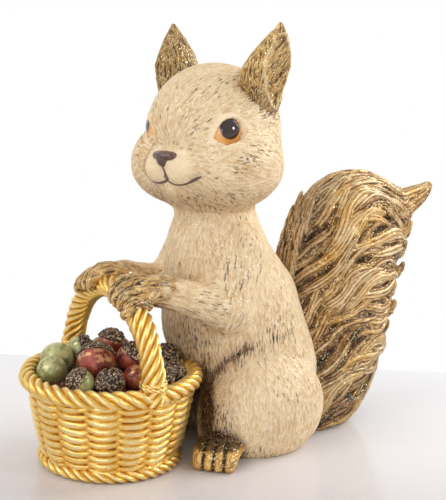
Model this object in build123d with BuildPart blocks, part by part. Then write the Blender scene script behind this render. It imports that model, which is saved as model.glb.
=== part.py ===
import os
from math import cos, sin, pi, radians, sqrt, hypot

from build123d import *

os.makedirs("parts", exist_ok=True)

# ---------------------------------------------------------------- driving sizes, mm
# The shape is drawn with the basket's centre at x = y = 0, the squirrel facing -Y,
# its left on +X, and the table at z = 0. Every piece is then moved by PLACE.
CENTRE_X = 0.0
CENTRE_Y = 74.901

RIM_R = 38.3            # radius of the rim rope's centreline
RIM_T = 3.5             # radius of the rim rope
RIM_Z = 41.0
BASE_R = 30.4
BASE_T = 2.8
WALL = 3.0
FLOOR_Z = 8.0
LEDGE_Z = 30.0
ARCH_Z = 44.0           # height of the handle arch's centre
HANDLE_T = 4.8          # radius of the handle rope

HEAD_AT = (0.0, 53.0, 152.0)
HEAD_TURN = 15.0        # degrees, towards the squirrel's left
HEAD_TILT = 2.8         # degrees, the ears towards the squirrel's right
EYE_Z = 1.8
EYE_R = 9.0
EYE_OUT = 23.4          # eye centre from the head's axis
EYE_AZ = 51.0
NECK_TOP = 125.0

HAUNCH_AT = (26.0, 73.0, 18.0)
HAUNCH_R = (19.0, 31.0, 30.0)

TAIL_PEG_R = 6.0
TAIL_PEG_Z = 30.0

PLACE = Location((-CENTRE_X, -CENTRE_Y, 0))
HEAD_LOC = Location(HEAD_AT, (0, 0, HEAD_TURN)) * Location((0, 0, 0), (0, -HEAD_TILT, 0))

# (z, y centre, half width in X, half length in Y)
TORSO_ST = [
    (0, 78, 24, 27), (8, 78.6, 28.5, 31), (18, 78.8, 31.5, 33.6), (34, 77.6, 32.6, 35.6),
    (46, 73.2, 31.8, 37.4), (58, 68.6, 31.0, 36.6), (68, 66.2, 30.4, 34.8), (78, 64.0, 28.0, 32.6),
    (88, 60.6, 24.8, 29.8), (98, 57.4, 22.4, 25.6), (108, 56.0, 20.2, 21.4), (118, 55.4, 17.2, 17.4),
    (NECK_TOP, 55.0, 15.4, 15.6),
]
TAIL_ST = [
    (0, 111.8, 21, 23.8), (8, 114.2, 25, 29.2), (16, 116.8, 26, 33.2), (26, 119.6, 26, 36.1),
    (38, 123.2, 25.5, 36.7), (52, 127.1, 24.6, 36.1), (66, 129.3, 24.4, 34.7), (80, 132.4, 24.4, 35.2),
    (94, 134.6, 23.6, 35.2), (104, 136.4, 22.2, 33.2), (114, 137.2, 19.2, 28.6), (121, 137.0, 14.8, 22),
    (126, 137.4, 9.4, 14.5), (129, 137.6, 3.6, 6),
]
HEAD_ST = [
    (-34.5, -3.6, 13.5, 10.0), (-32, -3.6, 21.6, 16.4), (-29, -3.4, 28.0, 21.2), (-25, -3.2, 33.6, 25.2),
    (-20, -2.8, 36.6, 27.8), (-15, -2.2, 38.2, 29.2), (-10, -1.8, 37.2, 30.0), (-4, -1.0, 33.6, 30.6),
    (2, -0.2, 31.4, 30.8), (8, 0, 30.2, 30.2), (14, 0, 28.2, 28.2), (20, 0, 24.4, 24.4),
    (25, 0, 19.0, 19.0), (28, 0, 14.4, 14.4), (30, 0, 9.6, 9.6), (31.2, 0, 4.6, 4.6),
]
EAR_ST = [
    (11, 24.0, 1.2, 7.6, 12.2), (19, 25.8, 2.2, 8.4, 13.2), (27, 28.0, 4.0, 7.8, 12.6),
    (35, 30.0, 5.6, 5.9, 10.2), (42, 31.6, 6.7, 3.6, 6.5), (47, 32.6, 7.4, 1.9, 3.2), (49.5, 33.2, 7.8, 0.8, 1.2),
]

# hazelnuts: name, colour word, centre, radius, cap tilt (azimuth, elevation of the cap) or None
NUTS = [
    ("green_nut_1", (-7.68, -26.58, 44.11), 6.70, None),
    ("green_nut_2", (-19.44, -18.36, 45.39), 7.50, None),
    ("green_nut_3", (-22.63, -4.78, 48.00), 6.00, (60, 20)),
    ("red_nut_1", (7.70, -12.18, 50.57), 8.35, (150, 40)),
    ("red_nut_2", (-5.48, 2.55, 54.00), 6.15, (100, 70)),
    ("red_nut_3", (8.12, 5.66, 50.00), 6.70, (60, 50)),
    ("red_nut_4", (20.12, 1.59, 44.50), 5.70, None),
    ("red_nut_5", (21.00, -11.61, 44.00), 6.20, (-50, 40)),
    ("green_nut_4", (14.61, -23.19, 44.40), 5.80, (-110, 35)),
    ("brown_nut_1", (17.75, 22.55, 43.00), 5.15, (-20, 60)),
    ("green_nut_5", (3.17, 27.44, 46.00), 5.75, (-40, 50)),
    ("red_nut_6", (-14.62, 11.63, 46.73), 6.40, None),
    ("brown_nut_2", (26.45, 11.14, 46.00), 5.60, (20, 50)),
    ("green_nut_6", (-27.00, 9.00, 44.60), 5.70, None),
    ("red_nut_7", (-11.15, 24.18, 46.26), 5.80, (100, 55)),
    ("brown_nut_3", (-0.60, 16.20, 43.60), 5.40, None),
]


def ellipsoid(c, r, turn=0.0):
    s = scale(Sphere(1, mode=Mode.PRIVATE), by=(r[0], r[1], r[2]), mode=Mode.PRIVATE)
    return Location(c, (0, 0, turn)) * s


def round_cone(a, b, ra, rb):
    """A limb from a to b with ball ends, as one solid."""
    va, vb = Vector(*a), Vector(*b)
    d = vb - va
    pl = Plane(origin=va, z_dir=d.normalized())
    core = pl.location * Cone(ra, rb, d.length, align=(Align.CENTER, Align.CENTER, Align.MIN), mode=Mode.PRIVATE) \
        if abs(ra - rb) > 1e-6 else \
        pl.location * Cylinder(ra, d.length, align=(Align.CENTER, Align.CENTER, Align.MIN), mode=Mode.PRIVATE)
    balls = [Location(a) * Sphere(ra * 1.001, mode=Mode.PRIVATE), Location(b) * Sphere(rb * 1.001, mode=Mode.PRIVATE)]
    return core.fuse(*balls)


def head_pt(x, y, z):
    return (HEAD_LOC * Location((x, y, z))).position


# ---------------------------------------------------------------- basket
with BuildPart() as rim_rope:
    with BuildSketch(Plane.XZ):
        with Locations((RIM_R, RIM_Z)):
            Circle(RIM_T)
    revolve(axis=Axis.Z)

with BuildPart() as base_rope:
    with BuildSketch(Plane.XZ):
        with Locations((BASE_R, BASE_T)):
            Circle(BASE_T)
    revolve(axis=Axis.Z)

OUTER = [(31.0, 4.6), (33.4, 12.0), (35.4, 21.0), (37.0, 31.0), (37.8, 38.6)]
with BuildPart() as basket_bowl:
    with BuildSketch(Plane.XZ):
        with BuildLine():
            Polyline((0, 1.2), (29.6, 1.2), OUTER[0])
            # nine rows of weave, each a shallow arc bulging from the wall
            rows = 9
            prev = OUTER[0]
            for i in range(1, rows + 1):
                t = i / rows
                z = OUTER[0][1] + (OUTER[-1][1] - OUTER[0][1]) * t
                for (r0, z0), (r1, z1) in zip(OUTER, OUTER[1:]):
                    if z0 - 1e-6 <= z <= z1 + 1e-6:
                        r = r0 + (r1 - r0) * (z - z0) / (z1 - z0)
                mid = ((prev[0] + r) / 2 + 0.75, (prev[1] + z) / 2)
                ThreePointArc(prev, mid, (r, z))
                prev = (r, z)
            Polyline(prev, (RIM_R - WALL, 38.6), (34.6, LEDGE_Z), (31.4, LEDGE_Z), (28.4, FLOOR_Z), (0, FLOOR_Z), (0, 1.2))
        make_face()
    revolve(axis=Axis.Z)
    add(rim_rope.part, mode=Mode.SUBTRACT)
    add(base_rope.part, mode=Mode.SUBTRACT)

with BuildPart() as handle_full:
    with BuildLine() as arch:
        l1 = Line((-RIM_R, 0, RIM_Z + 0.4), (-RIM_R, 0, ARCH_Z))
        a1 = ThreePointArc((-RIM_R, 0, ARCH_Z), (0, 0, ARCH_Z + RIM_R), (RIM_R, 0, ARCH_Z))
        l2 = Line((RIM_R, 0, ARCH_Z), (RIM_R, 0, RIM_Z + 0.4))
    with BuildSketch(Plane(origin=(-RIM_R, 0, RIM_Z + 0.4), z_dir=(0, 0, 1))):
        Circle(HANDLE_T)
    sweep(path=arch.line)

with BuildPart() as basket_handle:
    add(handle_full.part)
    add(rim_rope.part, mode=Mode.SUBTRACT)
    add(basket_bowl.part, mode=Mode.SUBTRACT)

collars = {}
for side, s in (("left", 1), ("right", -1)):
    with BuildPart() as collar:
        with Locations((s * RIM_R, 0, RIM_Z + RIM_T + 2.6)):
            Torus(HANDLE_T + 0.35, 1.2)
        add(handle_full.part, mode=Mode.SUBTRACT)
    collars[side] = collar

# ---------------------------------------------------------------- nuts and what they lie in
nut_parts, cap_parts = {}, {}
for name, c, r, cap in NUTS:
    with BuildPart() as nut:
        with Locations(c):
            Sphere(r)
        if cap:
            az, el = radians(cap[0]), radians(cap[1])
            d = Vector(cos(el) * cos(az), cos(el) * sin(az), sin(el))
            pl = Plane(origin=Vector(*c) + d * (r * 0.30), z_dir=d)
            split(bisect_by=pl, keep=Keep.BOTTOM)
    nut_parts[name] = nut
    if cap:
        with BuildPart() as acorn:
            with Locations(c):
                Sphere(r)
            split(bisect_by=pl, keep=Keep.TOP)
        cap_parts[name + "_cap"] = acorn

with BuildPart() as nut_bed:
    with BuildSketch(Plane.XZ):
        with BuildLine():
            Polyline((0, 44.6), (0, FLOOR_Z), (28.4, FLOOR_Z), (31.4, LEDGE_Z), (34.6, LEDGE_Z),
                     (34.6 + 0.7 * 7.0 / 8.6, 37.0), (31.0, 41.4), (22.0, 44.6), (0, 44.6))
        make_face()
    revolve(axis=Axis.Z)
    for name, c, r, cap in NUTS:
        with Locations(c):
            Sphere(r, mode=Mode.SUBTRACT)

# ---------------------------------------------------------------- body masses before they are fitted together
with BuildPart() as torso_full:
    for z, yc, a, b in TORSO_ST:
        with BuildSketch(Plane.XY.offset(z)):
            with Locations((0, yc)):
                Ellipse(a, b)
    loft()
    for s in (1, -1):
        add(ellipsoid((s * HAUNCH_AT[0], HAUNCH_AT[1], HAUNCH_AT[2]), HAUNCH_R))
        add(ellipsoid((s * 22, 50, 17), (16, 11, 20)))
    split(bisect_by=Plane.XY, keep=Keep.TOP)

with BuildPart() as tail_full:
    for z, yc, a, b in TAIL_ST:
        with BuildSketch(Plane.XY.offset(z)):
            with Locations((0, yc)):
                Ellipse(a, b)
    loft()
    add(round_cone((0, 152, 109), (1, 171, 108), 13.0, 7.6))
    add(round_cone((1, 171, 108), (2, 185, 114.5), 7.6, 4.4))
    add(round_cone((2, 185, 114.5), (3, 189, 118), 4.4, 2.6))

with BuildPart() as tail_peg:
    with Locations(Plane(origin=(0, 101, TAIL_PEG_Z), z_dir=(0, 1, 0))):
        Cylinder(TAIL_PEG_R, 20, align=(Align.CENTER, Align.CENTER, Align.MIN))

arm_full, foot_full = {}, {}
for side, s in (("left", 1), ("right", -1)):
    with BuildPart() as arm:
        add(round_cone((s * 20, 57, 98), (s * 28, 46, 73.5), 11.6, 9.8))
        add(round_cone((s * 28, 46, 73.5), (s * 18, 17, 81.5), 9.6, 6.8))
        add(round_cone((s * 18, 17, 81.5), (s * 14.5, 3.5, 82.5), 6.8, 6.6))
        add(ellipsoid((s * 14.0, 1.0, 81.0), (8.4, 8.6, 7.4)))
        for k in range(4):
            x = 8.4 + 4.1 * k
            zt = ARCH_Z + sqrt(RIM_R ** 2 - x ** 2)
            add(round_cone((s * x, -3.0, zt + 3.6), (s * (x + 0.8), -6.6, zt - 3.4), 2.7, 2.2))
    arm_full[side] = arm
    with BuildPart() as foot:
        add(ellipsoid((s * 34.0, 38.5, 5.0), (10.5, 10.5, 9.5)))
        for k in range(4):
            off = (k - 1.5) * 4.5
            bx, by = 36.4 + 0.7071 * off, 35.6 + 0.7071 * off
            add(round_cone((s * (bx - 2.6), by + 2.6, 6.6), (s * (bx + 1.9), by - 1.9, 4.0), 3.9, 3.3))
        split(bisect_by=Plane.XY, keep=Keep.TOP)
    foot_full[side] = foot

with BuildPart() as head_full:
    for z, yc, a, b in HEAD_ST:
        with BuildSketch(Plane.XY.offset(z)):
            with Locations((0, yc)):
                Ellipse(a, b)
    loft()
    for s in (1, -1):
        add(ellipsoid((s * 6.6, -27.6, -15.0), (8.0, 8.4, 7.6)))
        add(ellipsoid((s * 20.5, -8.6, -16.0), (18.2, 18.6, 16.6)))
    add(ellipsoid((0, -29.4, -9.6), (6.8, 6.6, 5.0)))
    add(ellipsoid((0, -25.0, -24.5), (9.0, 8.0, 6.0)))

ears, eyes = {}, {}
for side, s in (("left", 1), ("right", -1)):
    with BuildPart() as ear:
        for z, x, y, a, b in EAR_ST:
            with BuildSketch(Plane.XY.offset(z)):
                with Locations((s * x, y)):
                    Ellipse(a, b)
        loft()
        add(Location((s * 38.0, 4.4, 29.0), (0, s * 13, 0)) * ellipsoid((0, 0, 0), (6.4, 7.8, 12.5)), mode=Mode.SUBTRACT)
    ears[side] = ear
    az = radians(EYE_AZ)
    with BuildPart() as eye:
        with Locations((s * EYE_OUT * sin(az), -EYE_OUT * cos(az), EYE_Z)):
            Sphere(EYE_R)
    eyes[side] = eye

with BuildPart() as nose:
    add(ellipsoid((0, -34.4, -10.1), (6.2, 3.8, 3.7)))

# ---------------------------------------------------------------- fitting the pieces to each other
with BuildPart() as tail_casting:
    add(tail_full.part)
    add(torso_full.part, mode=Mode.SUBTRACT)
    add(tail_peg.part)

with BuildPart() as torso_casting:
    add(torso_full.part)
    add(tail_peg.part, mode=Mode.SUBTRACT)
    for side in ("left", "right"):
        add(arm_full[side].part, mode=Mode.SUBTRACT)
        add(foot_full[side].part, mode=Mode.SUBTRACT)
    add(rim_rope.part, mode=Mode.SUBTRACT)
    add(basket_bowl.part, mode=Mode.SUBTRACT)

with BuildPart() as head_casting:
    add(HEAD_LOC * head_full.part)
    add(torso_full.part, mode=Mode.SUBTRACT)
    for side in ("left", "right"):
        add(HEAD_LOC * ears[side].part, mode=Mode.SUBTRACT)
        add(HEAD_LOC * eyes[side].part, mode=Mode.SUBTRACT)
    add(HEAD_LOC * nose.part, mode=Mode.SUBTRACT)

arms = {}
for side in ("left", "right"):
    with BuildPart() as arm:
        add(arm_full[side].part)
        add(handle_full.part, mode=Mode.SUBTRACT)
    arms[side] = arm

# ---------------------------------------------------------------- hand the pieces over
pieces = [
    ("torso_casting", torso_casting.part),
    ("head_casting", head_casting.part),
    ("tail_casting", tail_casting.part),
    ("left_ear", HEAD_LOC * ears["left"].part),
    ("right_ear", HEAD_LOC * ears["right"].part),
    ("left_eye", HEAD_LOC * eyes["left"].part),
    ("right_eye", HEAD_LOC * eyes["right"].part),
    ("nose", HEAD_LOC * nose.part),
    ("left_arm", arms["left"].part),
    ("right_arm", arms["right"].part),
    ("left_hind_foot", foot_full["left"].part),
    ("right_hind_foot", foot_full["right"].part),
    ("basket_bowl", basket_bowl.part),
    ("rim_rope", rim_rope.part),
    ("base_rope", base_rope.part),
    ("basket_handle", basket_handle.part),
    ("left_collar", collars["left"].part),
    ("right_collar", collars["right"].part),
    ("nut_bed", nut_bed.part),
]
pieces += [(n, p.part) for n, p in nut_parts.items()]
pieces += [(n, p.part) for n, p in cap_parts.items()]

lo, hi = [1e9] * 3, [-1e9] * 3
for name, shape in pieces:
    shape = PLACE * shape
    solids = shape.solids()
    if len(solids) > 1:
        solids = sorted(solids, key=lambda q: -q.volume)
        print(f"{name}: {len(solids)} solids, volumes {[round(q.volume, 2) for q in solids]}, the largest is kept")
        shape = solids[0]
    shape.label = name
    bb = shape.bounding_box()
    for i, (u, v) in enumerate(zip((bb.min.X, bb.min.Y, bb.min.Z), (bb.max.X, bb.max.Y, bb.max.Z))):
        lo[i], hi[i] = min(lo[i], u), max(hi[i], v)
    print(f"{name:20s} volume {shape.volume / 1000:8.3f} cm3  valid {shape.is_valid}  x {bb.min.X:.2f}..{bb.max.X:.2f} y {bb.min.Y:.2f}..{bb.max.Y:.2f} z {bb.min.Z:.2f}..{bb.max.Z:.2f}")
    export_step(shape, f"parts/{name}.step")
print("box", [round(v, 3) for v in lo], [round(v, 3) for v in hi], "centre", [round((u + v) / 2, 3) for u, v in zip(lo, hi)])
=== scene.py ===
import math
import time

import bpy
import numpy as np
from mathutils import Matrix, Vector


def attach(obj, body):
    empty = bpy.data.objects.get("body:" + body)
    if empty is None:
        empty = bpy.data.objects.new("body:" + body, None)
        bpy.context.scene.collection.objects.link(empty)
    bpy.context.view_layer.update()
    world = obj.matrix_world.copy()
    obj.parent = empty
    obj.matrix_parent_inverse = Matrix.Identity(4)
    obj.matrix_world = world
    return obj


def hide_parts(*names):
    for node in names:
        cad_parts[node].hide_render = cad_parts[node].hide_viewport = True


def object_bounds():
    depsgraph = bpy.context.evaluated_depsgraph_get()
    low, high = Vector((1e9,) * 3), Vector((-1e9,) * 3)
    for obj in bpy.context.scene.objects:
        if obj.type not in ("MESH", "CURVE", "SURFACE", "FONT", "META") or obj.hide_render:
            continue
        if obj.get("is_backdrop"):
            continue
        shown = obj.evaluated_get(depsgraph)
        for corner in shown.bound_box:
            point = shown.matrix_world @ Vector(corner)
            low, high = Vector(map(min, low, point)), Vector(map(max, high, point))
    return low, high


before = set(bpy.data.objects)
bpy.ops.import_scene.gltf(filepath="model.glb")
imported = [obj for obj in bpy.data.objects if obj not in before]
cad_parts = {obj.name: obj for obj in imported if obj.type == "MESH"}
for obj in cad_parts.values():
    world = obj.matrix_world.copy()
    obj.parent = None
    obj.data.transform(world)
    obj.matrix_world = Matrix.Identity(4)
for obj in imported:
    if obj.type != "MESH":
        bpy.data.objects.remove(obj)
CAD_BOX = [list(map(float, v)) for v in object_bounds()]
T0 = time.time()

# Shapes are worked out in millimetres with the basket's centre at x = y = 0 and the table at z = 0.
# OFF moves them to the row frame when a mesh is made.
OFF = np.array([0.0, -74.901, 0.0])
RIM_R, RIM_Z, ARCH_Z = 38.3, 41.0, 44.0
HC = np.array([0.0, 53.0, 152.0])
YAW = math.radians(15.0)
TILT = math.radians(-2.8)
_yaw = np.array([[math.cos(YAW), math.sin(YAW), 0], [-math.sin(YAW), math.cos(YAW), 0], [0, 0, 1.0]])
HM = np.array([[math.cos(TILT), 0, -math.sin(TILT)], [0, 1.0, 0], [math.sin(TILT), 0, math.cos(TILT)]]) @ _yaw
EYE = np.array([23.4 * math.sin(math.radians(51)), -23.4 * math.cos(math.radians(51)), 1.8])
EYE_R = 9.0
GAZE = np.array([0.893, -0.40, 0.19])
GAZE /= np.linalg.norm(GAZE)


def say(*a):
    print("[%.0fs]" % (time.time() - T0), *a, flush=True)


# ---------------------------------------------------------------- camera
CA, CE, CR = map(math.radians, (56.0, 12.0, 1.9))
CAM = np.array([468.813, -256.149, 214.4])
CF = np.array([-math.sin(CA) * math.cos(CE), math.cos(CA) * math.cos(CE), -math.sin(CE)])
_r0 = np.array([math.cos(CA), math.sin(CA), 0.0])
_u0 = np.cross(_r0, CF)
CX = _r0 * math.cos(CR) + _u0 * math.sin(CR)
CY = -_r0 * math.sin(CR) + _u0 * math.cos(CR)

cam_data = bpy.data.cameras.new("camera")
cam = bpy.data.objects.new("camera", cam_data)
bpy.context.scene.collection.objects.link(cam)
cam_data.sensor_width = 36.0
cam_data.lens = 86.4
cam_data.clip_start, cam_data.clip_end = 0.01, 50.0
mw = Matrix.Identity(4)
for i in range(3):
    mw[i][0], mw[i][1], mw[i][2] = CX[i], CY[i], -CF[i]
    mw[i][3] = (CAM[i] + OFF[i]) / 1000
cam.matrix_world = mw
bpy.context.scene.camera = cam


def proj(P):
    d = np.atleast_2d(P) - CAM
    z = d @ CF
    return np.stack([223 + 1200 * (d @ CX) / z, 250 - 1200 * (d @ CY) / z], -1)


def ray(px, py):
    d = CF + CX * (px - 223) / 1200 - CY * (py - 250) / 1200
    return d / np.linalg.norm(d)


def hp(q):
    """head frame to the drawing frame"""
    return HC + np.asarray(q, float) @ HM


def hl(P):
    """drawing frame to the head frame"""
    return (np.asarray(P, float) - HC) @ HM.T


# ---------------------------------------------------------------- distance fields
class Grid:
    def __init__(s, lo, hi, h):
        s.lo = np.array(lo, float)
        s.h = float(h)
        n = np.ceil((np.array(hi, float) - s.lo) / h).astype(int) + 1
        s.n = n
        s.ax = [(s.lo[i] + h * np.arange(n[i])).astype(np.float32) for i in range(3)]
        s.d = np.full(n, 50.0, np.float32)

    def win(s, lo, hi):
        a = np.clip(np.floor((np.array(lo) - s.lo) / s.h).astype(int), 0, s.n)
        b = np.clip(np.ceil((np.array(hi) - s.lo) / s.h).astype(int) + 1, 0, s.n)
        sl = tuple(slice(a[i], b[i]) for i in range(3))
        return sl, s.ax[0][sl[0]][:, None, None], s.ax[1][sl[1]][None, :, None], s.ax[2][sl[2]][None, None, :]


def smin(a, b, k):
    if k <= 0:
        return np.minimum(a, b)
    h = np.maximum(k - np.abs(a - b), 0) / k
    return np.minimum(a, b) - h * h * k * 0.25


def smax(a, b, k):
    return -smin(-a, -b, k)


def merge(g, sl, d, k, op):
    d = d.astype(np.float32)
    if op == "add":
        g.d[sl] = smin(g.d[sl], d, k)
    elif op == "cut":
        g.d[sl] = smax(g.d[sl], -d, k)


def ell(g, c, r, k=0.0, op="add", M=None):
    """ellipsoid; the rows of M are its own axes"""
    c = np.array(c, float)
    r = np.array(r, float)
    M = np.eye(3) if M is None else np.array(M, float)
    e = np.sqrt(((M * r[:, None]) ** 2).sum(0)) + k + 2 * g.h
    sl, X, Y, Z = g.win(c - e, c + e)
    x, y, z = X - np.float32(c[0]), Y - np.float32(c[1]), Z - np.float32(c[2])
    q = [np.float32(M[i, 0]) * x + np.float32(M[i, 1]) * y + np.float32(M[i, 2]) * z for i in range(3)]
    k0 = np.sqrt(sum((q[i] / np.float32(r[i])) ** 2 for i in range(3)))
    k1 = np.sqrt(sum((q[i] / np.float32(r[i] ** 2)) ** 2 for i in range(3))) + np.float32(1e-6)
    merge(g, sl, k0 * (k0 - 1) / k1, k, op)


def tube(g, P, R, k=0.0, op="add", kin=None, sep=False):
    """chain of round cones through P with radii R"""
    P = np.array(P, float)
    R = np.broadcast_to(np.array(R, float), (len(P),)).copy()
    if sep:
        for i in range(len(P) - 1):
            tube(g, P[i:i + 2], R[i:i + 2], k, op)
        return
    m = R.max() + k + 2 * g.h
    sl, X, Y, Z = g.win(P.min(0) - m, P.max(0) + m)
    best = None
    for i in range(len(P) - 1):
        a, b = P[i], P[i + 1]
        ab = (b - a).astype(np.float32)
        L2 = max(float(ab @ ab), 1e-9)
        x, y, z = X - np.float32(a[0]), Y - np.float32(a[1]), Z - np.float32(a[2])
        t = np.clip((x * ab[0] + y * ab[1] + z * ab[2]) / np.float32(L2), 0, 1)
        d = np.sqrt((x - t * ab[0]) ** 2 + (y - t * ab[1]) ** 2 + (z - t * ab[2]) ** 2)
        d = d - (np.float32(R[i]) + np.float32(R[i + 1] - R[i]) * t)
        best = d if best is None else (np.minimum(best, d) if kin is None else smin(best, d, kin))
    merge(g, sl, best, k, op)


def sample(g, P):
    q = (P - g.lo) / g.h
    i = np.clip(np.floor(q).astype(int), 0, np.array(g.d.shape) - 2)
    f = np.clip(q - i, 0, 1)
    x, y, z = i.T
    fx, fy, fz = f.T
    d = g.d
    a = d[x, y, z] * (1 - fx) + d[x + 1, y, z] * fx
    b = d[x, y + 1, z] * (1 - fx) + d[x + 1, y + 1, z] * fx
    c = d[x, y, z + 1] * (1 - fx) + d[x + 1, y, z + 1] * fx
    e = d[x, y + 1, z + 1] * (1 - fx) + d[x + 1, y + 1, z + 1] * fx
    return (a * (1 - fy) + b * fy) * (1 - fz) + (c * (1 - fy) + e * fy) * fz


def grad(g, P, e=None):
    e = e or g.h
    G = np.stack([sample(g, P + o) - sample(g, P - o) for o in np.eye(3) * e], -1) / (2 * e)
    L = np.linalg.norm(G, axis=1, keepdims=True) + 1e-9
    return G / L, L[:, 0]


def drop(g, P, n=3):
    """moves points onto the surface"""
    for _ in range(n):
        G, L = grad(g, P)
        P = P - G * (sample(g, P) / np.maximum(L, 0.5))[:, None]
    return P


def hit(g, px, py, t0=380.0, t1=760.0):
    """first point of the surface on a line of sight"""
    d = ray(px, py)
    t = np.arange(t0, t1, 0.25)
    P = CAM + d * t[:, None]
    ok = np.all((P > g.lo + g.h) & (P < g.lo + g.h * (g.n - 2)), axis=1)
    v = np.where(ok, sample(g, P), 9.0)
    k = np.argmax(v < 0)
    return P[k] if v[k] < 0 else None


def nets(g):
    """surface of the field as quads"""
    d = g.d
    s = d < 0
    any_, all_ = None, None
    for i in (0, 1):
        for j in (0, 1):
            for k in (0, 1):
                v = s[i:s.shape[0] - 1 + i, j:s.shape[1] - 1 + j, k:s.shape[2] - 1 + k]
                any_ = v.copy() if any_ is None else (any_ | v)
                all_ = v.copy() if all_ is None else (all_ & v)
    act = any_ & ~all_
    cells = np.argwhere(act)
    idx = np.full(act.shape, -1, np.int32)
    idx[act] = np.arange(len(cells), dtype=np.int32)
    i, j, k = cells.T
    acc = np.zeros((len(cells), 3))
    w = np.zeros(len(cells))
    cor = {(a, b, c): d[i + a, j + b, k + c] for a in (0, 1) for b in (0, 1) for c in (0, 1)}
    for p in cor:
        for ax in range(3):
            if p[ax] == 0:
                q = list(p)
                q[ax] = 1
                a, b = cor[p], cor[tuple(q)]
                x = (a < 0) != (b < 0)
                t = np.where(x, a / np.where(x, a - b, 1), 0)
                pos = np.zeros((len(cells), 3)) + np.array(p, float)
                pos[:, ax] += t
                acc[x] += pos[x]
                w[x] += 1
    V = g.lo + g.h * (cells + acc / w[:, None])
    F = []
    for ax in range(3):
        n = s.shape
        a = s[tuple(slice(0, n[m] - 1) if m == ax else slice(1, n[m] - 1) for m in range(3))]
        b = s[tuple(slice(1, n[m]) if m == ax else slice(1, n[m] - 1) for m in range(3))]
        e = np.argwhere(a != b)
        o = np.array([0 if m == ax else 1 for m in range(3)])
        e = e + o
        inside = s[tuple(e.T)]
        u, v = (ax + 1) % 3, (ax + 2) % 3
        q = []
        for du, dv in ((-1, -1), (0, -1), (0, 0), (-1, 0)):
            c = e.copy()
            c[:, u] += du
            c[:, v] += dv
            q.append(idx[tuple(c.T)])
        q = np.stack(q, -1)
        q[~inside] = q[~inside][:, ::-1]
        F.append(q)
    F = np.concatenate(F)
    F = F[(F >= 0).all(1)]
    return V, F


def normals(V, F):
    a = V[F[:, 2]] - V[F[:, 0]]
    b = V[F[:, 3 if F.shape[1] > 3 else 1]] - V[F[:, 1 if F.shape[1] > 3 else 0]]
    n = np.cross(a, b) if F.shape[1] > 3 else np.cross(V[F[:, 1]] - V[F[:, 0]], a)
    N = np.zeros_like(V)
    for c in range(F.shape[1]):
        for m in range(3):
            N[:, m] += np.bincount(F[:, c], n[:, m], len(V))
    return N / (np.linalg.norm(N, axis=1, keepdims=True) + 1e-12)


# ---------------------------------------------------------------- noise and strokes
def hash3(i, seed):
    n = (i[..., 0] * 73856093) ^ (i[..., 1] * 19349663) ^ (i[..., 2] * 83492791) ^ (seed * 374761393)
    n = n & 0x7FFFFFFF
    n = ((n ^ (n >> 13)) * 1274126177) & 0x7FFFFFFF
    n = ((n ^ (n >> 16)) * 668265263) & 0x7FFFFFFF
    return ((n ^ (n >> 15)) & 0xFFFFF) / float(0xFFFFF)


def noise(P, size, seed=1, octaves=1):
    out = np.zeros(len(P))
    amp, tot = 1.0, 0.0
    for o in range(octaves):
        q = P / (size / 2 ** o) + 1000.0
        i = np.floor(q).astype(np.int64)
        f = q - i
        f = f * f * (3 - 2 * f)
        v = 0
        for a in (0, 1):
            for b in (0, 1):
                for c in (0, 1):
                    wt = (f[:, 0] if a else 1 - f[:, 0]) * (f[:, 1] if b else 1 - f[:, 1]) * (f[:, 2] if c else 1 - f[:, 2])
                    v = v + wt * hash3(i + np.array([a, b, c]), seed + o)
        out += amp * v
        tot += amp
        amp *= 0.5
    return out / tot


def pairs(P, C, r):
    """index pairs of points P and centres C that are nearer than r"""
    lo = np.minimum(P.min(0), C.min(0)) - 2 * r
    kc = np.floor((C - lo) / r).astype(np.int64)
    kp = np.floor((P - lo) / r).astype(np.int64)
    big = np.array([1 << 40, 1 << 20, 1], np.int64)
    key = kc @ big
    order = np.argsort(key, kind="stable")
    ks = key[order]
    for a in (-1, 0, 1):
        for b in (-1, 0, 1):
            for c in (-1, 0, 1):
                q = (kp + np.array([a, b, c])) @ big
                s = np.searchsorted(ks, q, "left")
                n = np.searchsorted(ks, q, "right") - s
                m = n > 0
                if not m.any():
                    continue
                pi = np.nonzero(m)[0]
                n, s = n[m], s[m]
                i = np.repeat(pi, n)
                off = np.arange(n.sum()) - np.repeat(np.cumsum(n) - n, n)
                j = order[np.repeat(s, n) + off]
                d = P[i] - C[j]
                ok = (d * d).sum(1) < r * r
                yield i[ok], j[ok], d[ok]


def tangent(D, N):
    D = D - (D * N).sum(1, keepdims=True) * N
    return D / (np.linalg.norm(D, axis=1, keepdims=True) + 1e-9)


def strokes(P, N, C, D, L, w, A=1.0, lift=0.35, bend=0.0, pw=1.0):
    """height of overlapping brush strokes at the points P. C, D: stroke centres and directions"""
    h = np.zeros(len(P))
    L = np.broadcast_to(np.asarray(L, float), (len(C),))
    w = np.broadcast_to(np.asarray(w, float), (len(C),))
    A = np.broadcast_to(np.asarray(A, float), (len(C),))
    bd = np.broadcast_to(np.asarray(bend, float), (len(C),))
    r = float(L.max()) / 2 + 0.2
    for i, j, d in pairs(P, C, r):
        u = (d * D[j]).sum(1)
        S = np.cross(N[i], D[j])
        v = (d * S).sum(1) + bd[j] * u * u
        a = 2 * u / L[j]
        wl = w[j] * np.sqrt(np.clip(1 - a * a, 0, 1)) + 1e-6
        b = v / wl
        dn = np.abs((d * N[i]).sum(1))
        m = (np.abs(a) < 1) & (np.abs(b) < 1) & (dn < 1.6)
        pr = ((1 - b * b) ** pw) * (1 - lift + lift * a) * A[j]
        np.maximum.at(h, i[m], pr[m])
    return h


def lin(*c):
    c = np.array(c if len(c) == 3 else c[0], float) / 255
    return np.where(c <= 0.04045, c / 12.92, ((c + 0.055) / 1.055) ** 2.4)


def mix(a, b, t):
    t = np.asarray(t)
    if t.ndim == 1:
        t = t[:, None]
    return a * (1 - t) + b * t


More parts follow.
